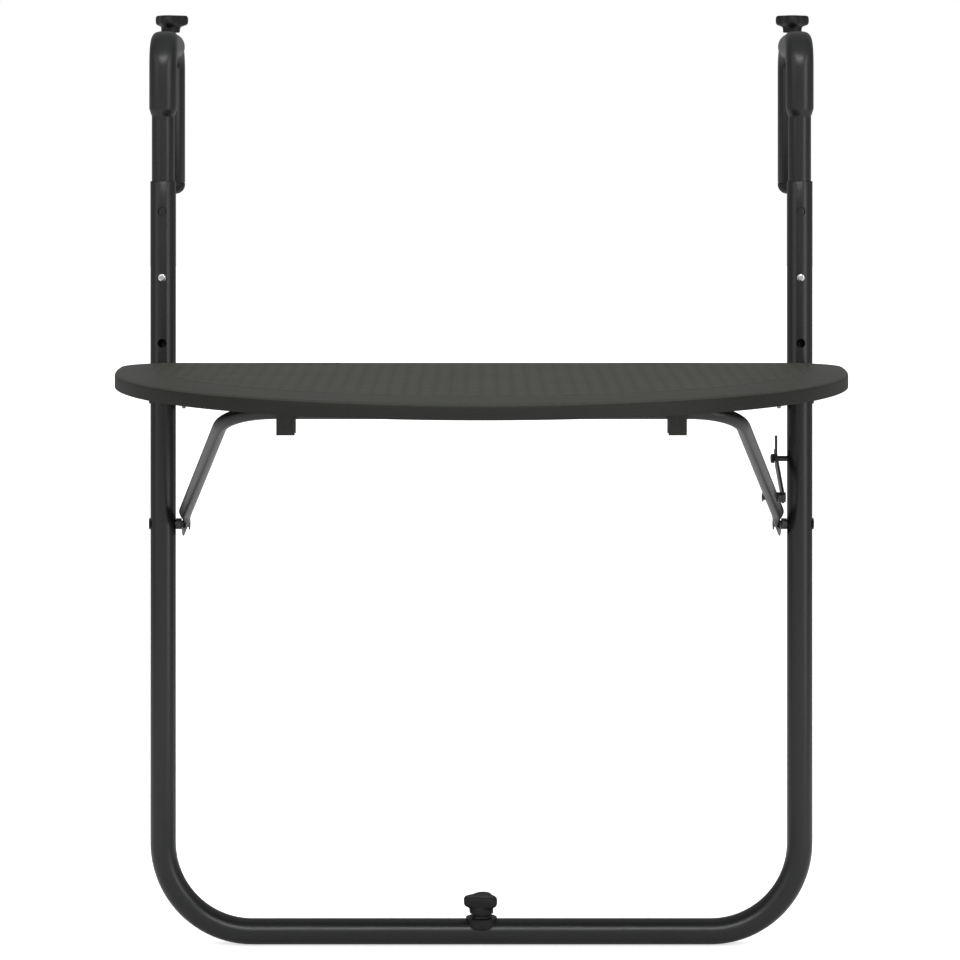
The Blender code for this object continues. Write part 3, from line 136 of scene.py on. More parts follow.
anthracite = powder_coat()
seat_height = 0.7955        # from the bottom of the frame up to the railing seat


def up(height):
    """A height above the bottom of the frame, as a height in the model."""
    return height - seat_height


def start_ring(name, centre, radius, facing, sides=56):
    """An open ring of points across the direction facing, left in edit mode for the next steps."""
    bpy.ops.object.select_all(action="DESELECT")
    turn = Vector((0, 0, 1)).rotation_difference(Vector(facing)).to_euler()
    bpy.ops.mesh.primitive_circle_add(vertices=sides, radius=radius, location=centre, rotation=turn)
    piece = bpy.context.object
    piece.name = name
    bpy.ops.object.transform_apply(location=True, rotation=True, scale=True)
    bpy.ops.object.mode_set(mode="EDIT")
    bpy.ops.mesh.select_mode(type="VERT")
    bpy.ops.mesh.select_all(action="SELECT")
    return piece


def run(*step):
    bpy.ops.mesh.extrude_region_move(TRANSFORM_OT_translate={"value": step})


def swell(factor, centre):
    bpy.ops.transform.resize(value=(factor, factor, factor), center_override=centre)


def bend(centre, axis, degrees, steps=18):
    """Carry the ring round the axis, by the right-hand rule."""
    bpy.ops.mesh.spin(steps=steps, angle=-math.radians(degrees), center=centre, axis=axis)


def finish_wall(piece, wall):
    """Turn the drawn skin into a tube wall with broken edges at its ends."""
    bpy.ops.mesh.select_all(action="SELECT")
    bpy.ops.mesh.remove_doubles(threshold=0.000002)
    bpy.ops.mesh.normals_make_consistent(inside=False)
    bpy.ops.object.mode_set(mode="OBJECT")
    shell = piece.modifiers.new("wall", "SOLIDIFY")
    shell.thickness = wall
    shell.offset = -1.0
    bpy.ops.object.modifier_apply(modifier=shell.name)
    edge = piece.modifiers.new("edge", "BEVEL")
    edge.width = 0.00025
    edge.segments = 2
    edge.limit_method = "ANGLE"
    edge.angle_limit = math.radians(60)
    bpy.ops.object.modifier_apply(modifier=edge.name)
    return piece


def cut_away(piece, cutter):
    cut = piece.modifiers.new("cut", "BOOLEAN")
    cut.operation = "DIFFERENCE"
    cut.object = cutter
    bpy.ops.object.select_all(action="DESELECT")
    bpy.context.view_layer.objects.active = piece
    piece.select_set(True)
    bpy.ops.object.modifier_apply(modifier=cut.name)
    bpy.data.objects.remove(cutter, do_unlink=True)


def drill(piece, start, end, radius, sides=40):
    start, end = Vector(start), Vector(end)
    way = end - start
    turn = Vector((0, 0, 1)).rotation_difference(way).to_euler()
    bpy.ops.object.select_all(action="DESELECT")
    bpy.ops.mesh.primitive_cylinder_add(vertices=sides, radius=radius, depth=way.length,
                                        location=(start + end) / 2, rotation=turn)
    cut_away(piece, bpy.context.object)


def hand_over(piece, material, slot, body, *nodes, smooth=35):
    """Shade the piece, give it its material and let it ride in place of its plain solids."""
    bpy.ops.object.select_all(action="DESELECT")
    bpy.context.view_layer.objects.active = piece
    piece.select_set(True)
    bpy.ops.object.shade_smooth_by_angle(angle=math.radians(smooth))
    if material is not None:
        piece.data.materials.clear()
        piece.data.materials.append(material)
    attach(piece, body)
    if nodes:
        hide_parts(*nodes)
    return piece


post_x = 0.2862
post_radius = 0.0115
frame_bend = 0.080
frame_top = up(0.686)
bottom_axis = up(post_radius)
button_height = 0.600       # the middle one of three settings
button_step = 0.059
hinge_height = 0.491
brace_height = 0.378
latch_pin_height = 0.4366
button_hole = 0.0040
bolt_hole = 0.0033
screw_hole = 0.0028
past_wall = 0.03            # how far a drill starts outside the tube

loop = start_ring("frame_loop", (-post_x, 0, frame_top), post_radius, (0, 0, -1))
run(0, 0, bottom_axis + frame_bend - frame_top)
bend((-post_x + frame_bend, 0, bottom_axis + frame_bend), (0, 1, 0), -90, 24)
run(2 * (post_x - frame_bend), 0, 0)
bend((post_x - frame_bend, 0, bottom_axis + frame_bend), (0, 1, 0), -90, 24)
run(0, 0, frame_top - bottom_axis - frame_bend)
finish_wall(loop, 0.001)
for sign in (-1, 1):
    for setting in (-1, 0, 1):
        hole = up(button_height + setting * button_step)
        drill(loop, (sign * post_x, -past_wall, hole), (sign * post_x, 0, hole), button_hole)
    for height in (hinge_height, brace_height):
        drill(loop, (sign * post_x - past_wall, 0, up(height)), (sign * post_x + past_wall, 0, up(height)),
              bolt_hole)
drill(loop, (post_x - past_wall, 0, up(latch_pin_height)), (post_x, 0, up(latch_pin_height)), screw_hole)
drill(loop, (0, 0, bottom_axis), (0, 0, bottom_axis + past_wall), bolt_hole)
hand_over(loop, anthracite, "powder_coat", "frame", "frame_tube")


# Pivot bolts. Low-headed bolts in black zinc go through both walls of each upright into a steel sleeve.
# The upper pair carries the tabletop and ends in nuts, the lower pair the brace, with push-on rings.

def black_zinc():
    """Passivated zinc: dark, slightly uneven, with a soft metallic sheen."""
    skin = Finish("black zinc", Metallic=0.55, IOR=1.5)
    bloom = skin.noise(260, 3.0)
    pits = skin.noise(1800, 1.0)
    colour = skin.tint((0.030, 0.031, 0.032), (0.050, 0.050, 0.049), bloom)
    return skin.feed(Base_Color=colour, Roughness=0.34 + bloom * 0.14,
                     Normal=skin.relief(pits, 0.00003, 0.5))


blackened = black_zinc()


def low_headed_bolt(name, place, outward, head_radius, head_height, shank_radius, shank_length):
    """A low domed head standing on place, and its plain shank behind it."""
    bpy.ops.object.select_all(action="DESELECT")
    bpy.ops.mesh.primitive_cylinder_add(vertices=40, radius=head_radius, depth=head_height,
                                        location=(0, 0, head_height / 2))
    bolt = bpy.context.object
    bolt.name = name
    bpy.ops.object.transform_apply(location=True, rotation=True, scale=True)
    pick_faces(bolt, lambda face: face.normal.z > 0.9)
    bpy.ops.mesh.bevel(offset=head_height * 0.85, segments=6, affect="EDGES")
    pick_faces(bolt, lambda face: face.normal.z < -0.9)
    bpy.ops.mesh.inset(thickness=head_radius - shank_radius)
    run(0, 0, -shank_length)
    bpy.ops.object.mode_set(mode="OBJECT")
    bolt.rotation_euler = Vector((0, 0, 1)).rotation_difference(Vector(outward)).to_euler()
    bolt.location = place
    bpy.ops.object.transform_apply(location=True, rotation=True, scale=True)
    return bolt


def pick_faces(piece, wanted):
    """Select the faces that the test wants, and leave the piece in edit mode."""
    bpy.context.view_layer.objects.active = piece
    piece.select_set(True)
    bpy.ops.object.mode_set(mode="EDIT")
    bpy.ops.mesh.select_mode(type="FACE")
    bpy.ops.mesh.select_all(action="DESELECT")
    bpy.ops.object.mode_set(mode="OBJECT")
    for face in piece.data.polygons:
        face.select = bool(wanted(face))
    bpy.ops.object.mode_set(mode="EDIT")


bolt_head_radius = 0.00525
bolt_head_height = 0.0008
bolt_radius = 0.0030
under_head = 0.0003
for side, sign in (("left", -1), ("right", 1)):
    for label, height, reach in (("hinge", hinge_height, 0.0370), ("brace", brace_height, 0.0359)):
        head_x = sign * (post_x + post_radius + under_head)
        bolt = low_headed_bolt(f"{side}_{label}_pin", (head_x, 0, up(height)), (sign, 0, 0),
                               bolt_head_radius, bolt_head_height, bolt_radius, reach)
        hand_over(bolt, blackened, "powder_coat", "frame", f"{side}_{label}_bolt")


def dress(material, *nodes):
    """Give plain solids that keep their shape their real finish."""
    for node in nodes:
        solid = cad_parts[node]
        solid.data.materials.clear()
        solid.data.materials.append(material)


for side in ("left", "right"):
    dress(blackened, f"{side}_hinge_spacer", f"{side}_hinge_nut", f"{side}_brace_spacer",
          f"{side}_brace_retainer")
dress(blackened, "latch_pin", "stop_weld_nut")


# Hooks. Each is 25 mm tube, swaged down to a neck that slides in the upright, bent over at the top
# and coated like the frame. A threaded boss on the arm takes the clamp knob.

arm_height = up(0.808)
neck_radius = 0.0102
neck_foot = 0.565
hook_bend = 0.020
arm_mouth = 0.079
clamp_y = 0.071
bend_squareness = 1.6
bend_growth = 0.06


def bent_share(away):
    """How far the press has squared the tube: from the bend's middle on, fading out along the arm."""
    turned = math.degrees(math.atan2(away.z, -away.y)) if away.y < 0 else 90.0
    if away.z < 0:
        return 0.0
    rise = min(1.0, turned / 60)
    fade = 1 - min(1.0, max(0.0, away.y) / 0.020)
    return rise * rise * (3 - 2 * rise) * fade * fade * (3 - 2 * fade)


for side, sign in (("left", -1), ("right", 1)):
    x = sign * post_x
    hook = start_ring(f"{side}_hook", (x, 0, up(neck_foot)), neck_radius, (0, 0, 1))
    run(0, 0, 0.7425 - neck_foot)
    for low, high, narrow, wide in ((0.7425, 0.7450, 10.2, 10.3), (0.7450, 0.7458, 10.3, 10.8),
                                    (0.7458, 0.7498, 10.8, 12.1), (0.7498, 0.7515, 12.1, 12.5)):
        run(0, 0, high - low)
        swell(wide / narrow, (x, 0, up(high)))
    run(0, 0, arm_height - hook_bend - up(0.7515))
    bend((x, hook_bend, arm_height - hook_bend), (1, 0, 0), -90, 24)
    for step in range(10):
        run(0, (arm_mouth - hook_bend) / 10, 0)
    bpy.ops.object.mode_set(mode="OBJECT")
    middle = Vector((x, hook_bend, arm_height - hook_bend))
    for vertex in hook.data.vertices:
        squared = bent_share(vertex.co - middle)
        if squared > 0:
            line = vertex.co - middle
            outward = Vector((0, min(line.y, 0), line.z)).normalized()
            axis_point = Vector((x, max(vertex.co.y, hook_bend), middle.z)) + outward * hook_bend
            across, height = (vertex.co - axis_point).x, (vertex.co - axis_point).dot(outward)
            power = 2 + bend_squareness * squared
            round_part = math.hypot(across, height)
            share = (abs(across / round_part) ** power
                     + abs(height / round_part) ** power) ** (-1 / power)
            grow = 1 + bend_growth * squared * max(0.0, height / round_part)
            vertex.co = axis_point + (Vector((across, 0, 0)) + outward * height * grow) * share
    bpy.ops.object.mode_set(mode="EDIT")
    finish_wall(hook, 0.0013)
    drill(hook, (x, -past_wall, up(button_height)), (x, 0, up(button_height)), button_hole)
    drill(hook, (x, clamp_y, arm_height), (x, clamp_y, arm_height + past_wall), screw_hole)
    hand_over(hook, anthracite, "powder_coat", f"{side}_hook", f"{side}_hook_tube")
    dress(anthracite, f"{side}_clamp_boss")


# Height buttons. A bright plated steel button on a bent leaf spring inside the neck snaps through
# one of the three holes in the upright. It is pressed in by hand to slide the hook up or down.

def bright_plate():
    """Bright zinc plating with faint turning marks."""
    plate = Finish("bright plating", Metallic=1.0)
    cloud = plate.noise(420, 2.0)
    colour = plate.tint((0.56, 0.56, 0.55), (0.68, 0.68, 0.66), cloud)
    return plate.feed(Base_Color=colour, Roughness=0.20 + cloud * 0.12,
                      Normal=plate.relief(cloud, 0.00003, 0.4))


plated = bright_plate()
button_front = -0.0131

for side, sign in (("left", -1), ("right", 1)):
    bpy.ops.object.select_all(action="DESELECT")
    bpy.ops.mesh.primitive_cylinder_add(vertices=40, radius=0.0037, depth=0.0064,
                                        location=(sign * post_x, button_front + 0.0032, up(button_height)),
                                        rotation=(math.pi / 2, 0, 0))
    button = bpy.context.object
    button.name = f"{side}_button"
    bpy.ops.object.transform_apply(location=True, rotation=True, scale=True)
    pick_faces(button, lambda face: face.normal.y < -0.9)
    bpy.ops.mesh.bevel(offset=0.0018, segments=6, affect="EDGES")
    pick_faces(button, lambda face: face.normal.y > 0.9)
    bpy.ops.mesh.inset(thickness=-0.0017, use_outset=False)
    run(0, 0.0009, 0)
    bpy.ops.object.mode_set(mode="OBJECT")
    hand_over(button, plated, "bright_zinc", f"{side}_button", f"{side}_snap_button")
    dress(plated, f"{side}_button_spring")


# Rear legs. 21.4 mm tube, bent down behind the railing, telescopes in the arm of each hook and ends
# in a domed black plug that keeps it from scratching the balcony.

def black_plastic():
    """Moulded black plastic with a fine spark-eroded grain."""
    plastic = Finish("black plastic", IOR=1.48, Specular_IOR_Level=0.3)
    grain = plastic.noise(1300, 2.0)
    wear = plastic.noise(30, 3.0)
    colour = plastic.tint((0.0055, 0.0055, 0.0055), (0.0090, 0.0090, 0.0088), wear)
    return plastic.feed(Base_Color=colour, Roughness=0.42 + wear * 0.14,
                        Normal=plastic.relief(grain, 0.00006, 0.6))


moulded_black = black_plastic()
leg_radius = 0.0107
leg_y = 0.1015
leg_bend = 0.022
leg_end = up(0.682)

for side, sign in (("left", -1), ("right", 1)):
    x = sign * post_x
    leg = start_ring(f"{side}_leg", (x, 0.037, arm_height), leg_radius, (0, 1, 0))
    run(0, leg_y - leg_bend - 0.037, 0)
    bend((x, leg_y - leg_bend, arm_height - leg_bend), (1, 0, 0), -90, 20)
    run(0, 0, leg_end - arm_height + leg_bend)
    finish_wall(leg, 0.0012)
    hand_over(leg, anthracite, "powder_coat", f"{side}_leg", f"{side}_rear_leg")

    bpy.ops.object.select_all(action="DESELECT")
    bpy.ops.mesh.primitive_cylinder_add(vertices=56, radius=leg_radius, depth=0.010,
                                        location=(x, leg_y, leg_end - 0.0003 - 0.005))
    plug = bpy.context.object
    plug.name = f"{side}_leg_plug"
    bpy.ops.object.transform_apply(location=True, rotation=True, scale=True)
    pick_faces(plug, lambda face: face.normal.z < -0.9)
    bpy.ops.mesh.bevel(offset=0.0086, segments=10, affect="EDGES")
    pick_faces(plug, lambda face: face.normal.z > 0.9)
    bpy.ops.mesh.inset(thickness=0.0017)
    run(0, 0, 0.012)
    bpy.ops.object.mode_set(mode="OBJECT")
    hand_over(plug, moulded_black, "black_plastic", f"{side}_leg", f"{side}_leg_cap")


# Clamp knobs. Three-lobed knobs moulded in black plastic over a steel screw. The pair on the arms
# presses a pad on each rear leg; the third, with a stouter hub, tightens the railing stop.

knob_height = 0.016
knob_hub_height = 0.0064
knob_mean = 0.0140
knob_lobe = 0.0030


def shape_lobes(piece, axis_at, factors):
    """Swell the chosen ring where the lobes are and draw it in between them."""
    picked = [vertex.index for vertex in ring_of(piece)]
    for step in range(5):
        bpy.ops.mesh.select_all(action="DESELECT")
        bpy.ops.object.mode_set(mode="OBJECT")
        for index in picked:
            place = piece.data.vertices[index].co
            turn = math.degrees(math.atan2(place.y - axis_at[1], place.x - axis_at[0])) * 3
            wave = math.cos(math.radians(turn))
            piece.data.vertices[index].select = abs(wave - math.cos(math.radians(45 * step))) < 0.01
        bpy.ops.object.mode_set(mode="EDIT")
        bpy.ops.transform.resize(value=(factors[step], factors[step], 1), center_override=axis_at)
    bpy.ops.mesh.select_all(action="DESELECT")
    bpy.ops.object.mode_set(mode="OBJECT")
    for index in picked:
        piece.data.vertices[index].select = True
    bpy.ops.object.mode_set(mode="EDIT")


def ring_of(piece):
    """The points of the ring that is selected now."""
    bpy.ops.object.mode_set(mode="OBJECT")
    picked = [vertex for vertex in piece.data.vertices if vertex.select]
    bpy.ops.object.mode_set(mode="EDIT")
    return picked


def pick_points(piece, wanted):
    """Select the points that the test wants, and leave the piece in edit mode."""
    bpy.ops.object.mode_set(mode="EDIT")
    bpy.ops.mesh.select_mode(type="VERT")
    bpy.ops.mesh.select_all(action="DESELECT")
    bpy.ops.object.mode_set(mode="OBJECT")
    for vertex in piece.data.vertices:
        vertex.select = bool(wanted(vertex.co))
    bpy.ops.object.mode_set(mode="EDIT")


def clamp_knob(name, hub_radius, recess_radius, recess_depth):
    """A knob on the Z axis with its foot at zero and one lobe towards +X."""
    knob = start_ring(name, (0, 0, 0), recess_radius, (0, 0, 1), sides=24)
    run(0, 0, 0)
    swell(hub_radius / recess_radius, (0, 0, 0))
    levels = (
        (0.0004, hub_radius + 0.0002, 0.0),
        (knob_hub_height * 0.70, hub_radius + 0.0002, 0.06),
        (knob_hub_height - 0.0004, hub_radius + 0.0010, 0.5),
        (knob_hub_height + 0.0006, knob_mean - 0.0012, 1.0),
        (knob_hub_height + 0.0024, knob_mean, 1.05),
        (knob_height - 0.0020, knob_mean, 1.05),
        (knob_height - 0.0004, knob_mean - 0.0009, 1.0),
        (knob_height, knob_mean - 0.0030, 0.8),
        (knob_height - 0.0004, knob_mean - 0.0060, 0.4),
        (knob_height - 0.0007, 0.0030, 0.0),
    )
    height, radius, lobe = 0.0, hub_radius, 0.0
    for next_height, next_radius, next_lobe in levels:
        run(0, 0, next_height - height)
        waves = [math.cos(math.radians(45 * step)) for step in range(5)]
        before = [radius + knob_lobe * lobe * wave for wave in waves]
        after = [next_radius + knob_lobe * next_lobe * wave for wave in waves]
        shape_lobes(knob, (0, 0, next_height), [new / old for new, old in zip(after, before)])
        height, radius, lobe = next_height, next_radius, next_lobe
    bpy.ops.mesh.edge_face_add()
    pick_points(knob, lambda point: point.z < 0.00001 and point.xy.length < recess_radius + 0.0001)
    run(0, 0, recess_depth)
    bpy.ops.mesh.edge_face_add()
    bpy.ops.mesh.select_all(action="SELECT")
    bpy.ops.mesh.remove_doubles(threshold=0.000002)
    bpy.ops.mesh.normals_make_consistent(inside=False)
    bpy.ops.object.mode_set(mode="OBJECT")
    soft = knob.modifiers.new("soft", "SUBSURF")
    soft.levels = 2
    soft.render_levels = 2
    bpy.ops.object.modifier_apply(modifier=soft.name)
    return knob


def copy_in_place(source, name, place, degrees):
    """A copy with its own mesh, turned about the Z axis, moved to its place and settled there."""
    made = source.copy()
    made.data = source.data.copy()
    made.name = name
    bpy.context.scene.collection.objects.link(made)
    made.rotation_euler = (0, 0, math.radians(degrees))
    made.location = place
    bpy.ops.object.select_all(action="DESELECT")
    bpy.context.view_layer.objects.active = made
    made.select_set(True)
    bpy.ops.object.transform_apply(location=True, rotation=True, scale=True)
    return made


arm_knob = clamp_knob("arm_knob", 0.0085, 0.0043, 0.0033)
for side, sign, degrees in (("left", -1, 20), ("right", 1, 25)):
    knob = copy_in_place(arm_knob, f"{side}_knob", (sign * post_x, clamp_y, up(0.8208)), degrees)
    hand_over(knob, moulded_black, "black_plastic", f"{side}_knob", f"{side}_clamp_knob", smooth=50)
    dress(blackened, f"{side}_clamp_screw")
bpy.data.objects.remove(arm_knob, do_unlink=True)


def brass():
    """Turned brass, a little dull."""
    metal = Finish("brass", Metallic=1.0)
    tarnish = metal.noise(300, 3.0)
    colour = metal.tint((0.42, 0.30, 0.12), (0.62, 0.47, 0.20), tarnish)
    return metal.feed(Base_Color=colour, Roughness=0.28 + tarnish * 0.2)


dress(brass(), "left_clamp_pad", "right_clamp_pad")


# Tabletop. One injection moulding in anthracite plastic: a half-round panel with a moulded weave, a
# plain border that slopes down to a rounded edge, a skirt all round, and ribs and pads underneath.

top_face = up(0.5265)
top_low = up(0.5107)
top_centre_y = -0.070
top_half_width = 0.320
top_depth = 0.3424
top_back = -0.014
top_corner = 0.040
border_width = 0.034
border_drop = 0.0028
strand = 0.0125             # pitch of the weave


def woven_plastic():
    """Plain weave of flat strands, as moulded: each strand crowned, ridged and dipping at its ends, with
    painted shade darkening the dips.
    """
    weave = Finish("moulded weave", IOR=1.45, Specular_IOR_Level=0.35)
    place = weave.place()
    across = weave.add("ShaderNodeSeparateXYZ", {}, [place], output="X") / strand
    along = weave.add("ShaderNodeSeparateXYZ", {}, [place], output="Y") / strand
    left = across % 1.0 - 0.5
    front = along % 1.0 - 0.5
    over = math.floor(across) + math.floor(along)
    lies_along_x = (over % 2.0) > 0.5
    crown_x = (1.0 - front * front * 3.4) * (1.0 - left * left * 1.9)
    crown_y = (1.0 - left * left * 3.4) * (1.0 - front * front * 1.9)
    reed_x = weave.add("ShaderNodeMath", {"operation": "COSINE"}, [front * 37.7]) * 0.05
    reed_y = weave.add("ShaderNodeMath", {"operation": "COSINE"}, [left * 37.7]) * 0.05
    height = (crown_x + reed_x) * lies_along_x + (crown_y + reed_y) * (1.0 - lies_along_x)
    grain = weave.noise(1400, 2.0)
    cloud = weave.noise(14, 4.0)
    # Painted shade: the colour is darker where the strands dip and lighter on their crowns, with a random
    # cloud mixed in.
    weave_painted_shade = weave.tint((0.020, 0.021, 0.0165), (0.037, 0.039, 0.031), height * 0.75 + cloud * 0.25)
    return weave.feed(Base_Color=weave_painted_shade, Roughness=0.50 + cloud * 0.16,
                      Normal=weave.relief(height + grain * 0.03, 0.0009, 0.7))


def plain_plastic(name, dark, light, shine):
    """The plain parts of the same moulding, with a faint leather grain."""
    plain = Finish(name, IOR=1.45, Specular_IOR_Level=shine)
    cells = plain.add("ShaderNodeTexVoronoi", {}, {"Vector": plain.place(), "Scale": 520})
    cloud = plain.noise(14, 4.0)
    colour = plain.tint(dark, light, cloud * 0.7 + cells * 0.3)
    return plain.feed(Base_Color=colour, Roughness=0.46 + cloud * 0.14,
                      Normal=plain.relief(cells, 0.00015, 0.6))


panel = start_ring("tabletop", (0, top_centre_y, top_low), top_half_width, (0, 0, 1), sides=224)
bpy.ops.transform.resize(value=(1, top_depth / top_half_width, 1),
                         center_override=(0, top_centre_y, top_low))
pick_points(panel, lambda point: point.y > top_centre_y + 0.0001)
bpy.ops.mesh.delete(type="VERT")
corner_y = top_back - top_corner
for sign in (-1, 1):
    pick_points(panel, lambda point: (point.x * sign > top_half_width - 0.0001
                                      and point.y > top_centre_y - 0.0001))
    run(0, corner_y - top_centre_y, 0)
    bend((sign * (top_half_width - top_corner), corner_y, top_low), (0, 0, 1), sign * 90, 20)
pick_points(panel, lambda point: point.y > top_back - 0.0001)
bpy.ops.mesh.edge_face_add()
bpy.ops.mesh.select_all(action="SELECT")
bpy.ops.mesh.remove_doubles(threshold=0.000002)
bpy.ops.mesh.edge_face_add()
bpy.ops.mesh.select_all(action="SELECT")
bpy.ops.mesh.normals_make_consistent(inside=False)
bpy.ops.object.mode_set(mode="OBJECT")
if panel.data.polygons[0].normal.z < 0:
    pick_faces(panel, lambda face: True)
    bpy.ops.mesh.flip_normals()
pick_faces(panel, lambda face: True)
run(0, 0, top_face - border_drop - top_low)
bpy.ops.mesh.bevel(offset=0.0035, segments=6, affect="EDGES")
pick_faces(panel, lambda face: face.normal.z > 0.999 and face.area > 0.05)
bpy.ops.mesh.inset(thickness=border_width - 0.0035, depth=border_drop)
bpy.ops.mesh.inset(thickness=0.0008, depth=-0.0006)
bpy.ops.mesh.inset(thickness=0.0008, depth=0.0)
bpy.ops.mesh.inset(thickness=0.0008, depth=0.0006)
pick_faces(panel, lambda face: face.normal.z < -0.999 and face.area > 0.05)
bpy.ops.mesh.delete(type="ONLY_FACE")
bpy.ops.object.mode_set(mode="OBJECT")
wall = panel.modifiers.new("wall", "SOLIDIFY")
wall.thickness = 0.0034
wall.offset = -1.0
wall.use_even_offset = True
bpy.ops.object.modifier_apply(modifier=wall.name)

for sign in (-1, 1):
    bpy.ops.object.select_all(action="DESELECT")
    bpy.ops.mesh.primitive_cylinder_add(vertices=48, radius=0.005, depth=0.004,
                                        location=(sign * 0.159, -0.052, top_face + 0.0006))
    slot = bpy.context.object
    bpy.ops.object.transform_apply(location=True, rotation=True, scale=True)
    pick_points(slot, lambda point: point.x > sign * 0.159)
    bpy.ops.transform.translate(value=(0.030, 0, 0))
    pick_points(slot, lambda point: point.x < sign * 0.159)
    bpy.ops.transform.translate(value=(-0.030, 0, 0))
    bpy.ops.object.mode_set(mode="OBJECT")
    cut_away(panel, slot)

border = plain_plastic("moulded border", (0.0225, 0.0243, 0.0201), (0.0326, 0.0345, 0.0288), 0.35)
# The skirt is the border's own plastic in a darker copy: painted shade on the upright faces, which the
# light from above reaches less.
skirt_painted_shade = plain_plastic("moulded skirt", (0.0104, 0.0110, 0.0096), (0.0152, 0.0158, 0.0140), 0.26)
for finish in (border, woven_plastic(), skirt_painted_shade):
    panel.data.materials.append(finish)
for face in panel.data.polygons:
    if face.normal.z > 0.999 and face.center.z > top_face - 0.0002:
        face.material_index = 1
    # Near-vertical faces take the darker copy with painted shade.
    elif abs(face.normal.z) < 0.4:
        face.material_index = 2


def moulded_block(name, low, high, edge):
    """A rib or pad of the moulding: a block between two corners with softened edges."""
    low, high = Vector(low), Vector(high)
    bpy.ops.object.select_all(action="DESELECT")
    bpy.ops.mesh.primitive_cube_add(size=1.0, location=(low + high) / 2)
    block = bpy.context.object
    block.name = name
    block.scale = high - low
    bpy.ops.object.transform_apply(location=True, rotation=True, scale=True)
    bpy.ops.object.mode_set(mode="EDIT")
    bpy.ops.mesh.select_all(action="SELECT")
    bpy.ops.mesh.bevel(offset=edge, segments=2, affect="EDGES")
    bpy.ops.object.mode_set(mode="OBJECT")
    block.data.materials.append(panel.data.materials[0])
    return block


rib_high = up(0.5235)
rib_low = up(0.5150)
rib_half = 0.0012
blocks = []
for step in range(-2, 3):
    x = step * 0.105
    reach = top_half_width - 0.002
    front = top_centre_y - (top_depth - 0.002) * math.sqrt(1 - (x / reach) ** 2)
    blocks.append(moulded_block("rib", (x - rib_half, front, rib_low),
                                (x + rib_half, top_back - 0.002, rib_high), 0.0004))
for step in range(1, 4):
    y = top_centre_y - step * 0.080
    half = (top_half_width - 0.002) * math.sqrt(1 - (step * 0.080 / (top_depth - 0.002)) ** 2)
    blocks.append(moulded_block("rib", (-half, y - rib_half, rib_low),
                                (half, y + rib_half, rib_high), 0.0004))
for sign in (-1, 1):
    spans = (((0.2622, -0.082, top_low), (0.304, -0.022, rib_high)),
             ((0.1482, -0.301, up(0.5134)), (0.1712, -0.249, rib_high)))
    for low, high in spans:
        xs = sorted((sign * low[0], sign * high[0]))
        blocks.append(moulded_block("pad", (xs[0], low[1], low[2]), (xs[1], high[1], high[2]), 0.0005))
bpy.ops.object.select_all(action="DESELECT")
for block in blocks:
    block.select_set(True)
panel.select_set(True)
bpy.context.view_layer.objects.active = panel
bpy.ops.object.join()
hand_over(panel, None, "rattan_plastic", "tabletop", "tabletop_panel", smooth=28)


# Fittings under the tabletop. Pressed steel brackets carry it on the hinge bolts, and two snap clips
# of the tabletop's own plastic hold the bar of the brace. All are fixed with screws into the pads.

for side in ("left", "right"):
    dress(blackened, f"{side}_hinge_bracket", f"{side}_front_bracket_screw", f"{side}_rear_bracket_screw",
          f"{side}_front_clip_screw", f"{side}_rear_clip_screw")
    dress(border, f"{side}_bar_clip")


# Brace. A single 12 mm steel tube, bent twice, with its ends pressed flat and drilled for the lower
# bolts. Its bar lies under the tabletop in the clips and is coated like the frame.

brace_radius = 0.006
brace_bend = 0.048
bar_y = -0.275
bar_height = 0.5044
pivot = Vector((0.2705, 0, up(brace_height)))
corner = Vector((0.209, bar_y, up(bar_height)))
lug_reach = 0.0100          # from the pivot to the end of the flattened part
lug = 0.026
taper = 0.022


def mirrored(point):
    return Vector((-point.x, point.y, point.z))


leg_way = (corner - pivot).normalized()
bar_way = Vector((-1, 0, 0))
corner_turn = leg_way.angle(bar_way)
setback = brace_bend * math.tan(corner_turn / 2)
tip = pivot - leg_way * lug_reach
brace = start_ring("brace", tip, brace_radius, leg_way, sides=40)
run(*(leg_way * lug))
for step in range(10):
    run(*(leg_way * taper / 10))
straight = (corner - tip).length - setback - lug - taper
run(*(leg_way * straight))
inward = (bar_way - leg_way * leg_way.dot(bar_way)).normalized()
bend(corner - leg_way * setback + inward * brace_bend, leg_way.cross(bar_way),
     math.degrees(corner_turn), 18)
run(-2 * (corner.x - setback), 0, 0)
back_way = -mirrored(leg_way)
bend(mirrored(corner - leg_way * setback + inward * brace_bend), bar_way.cross(back_way),
     math.degrees(corner_turn), 18)
run(*(back_way * straight))
for step in range(10):
    run(*(back_way * taper / 10))
run(*(back_way * lug))
bpy.ops.object.mode_set(mode="OBJECT")
above = Vector((0, -(corner.z - pivot.z), corner.y)).normalized()
for vertex in brace.data.vertices:
    on_left = vertex.co.x < 0
    place = mirrored(vertex.co) if on_left else vertex.co.copy()
    along_leg = (place - tip).dot(leg_way)
    if along_leg < lug + taper + 0.00001:
        share = 1 - max(0.0, along_leg - lug) / taper
        share = share * share * (3 - 2 * share)
        outward = above.cross(leg_way)
        outward = outward if outward.x > 0 else -outward
        axis_point = tip + leg_way * along_leg
        thin = (place - axis_point).dot(outward)
        wide = (place - axis_point).dot(above)
        flat = -brace_radius + (thin + brace_radius) / 3
        place = (axis_point + outward * (thin + (flat - thin) * share)
                 + above * (wide * (1 + 0.375 * share)))
        vertex.co = mirrored(place) if on_left else place
pick_points(brace, lambda point: (point - tip).length < 0.012)
bpy.ops.mesh.edge_face_add()
pick_points(brace, lambda point: (mirrored(point) - tip).length < 0.012)
bpy.ops.mesh.edge_face_add()
bpy.ops.mesh.select_all(action="SELECT")
bpy.ops.mesh.remove_doubles(threshold=0.000002)
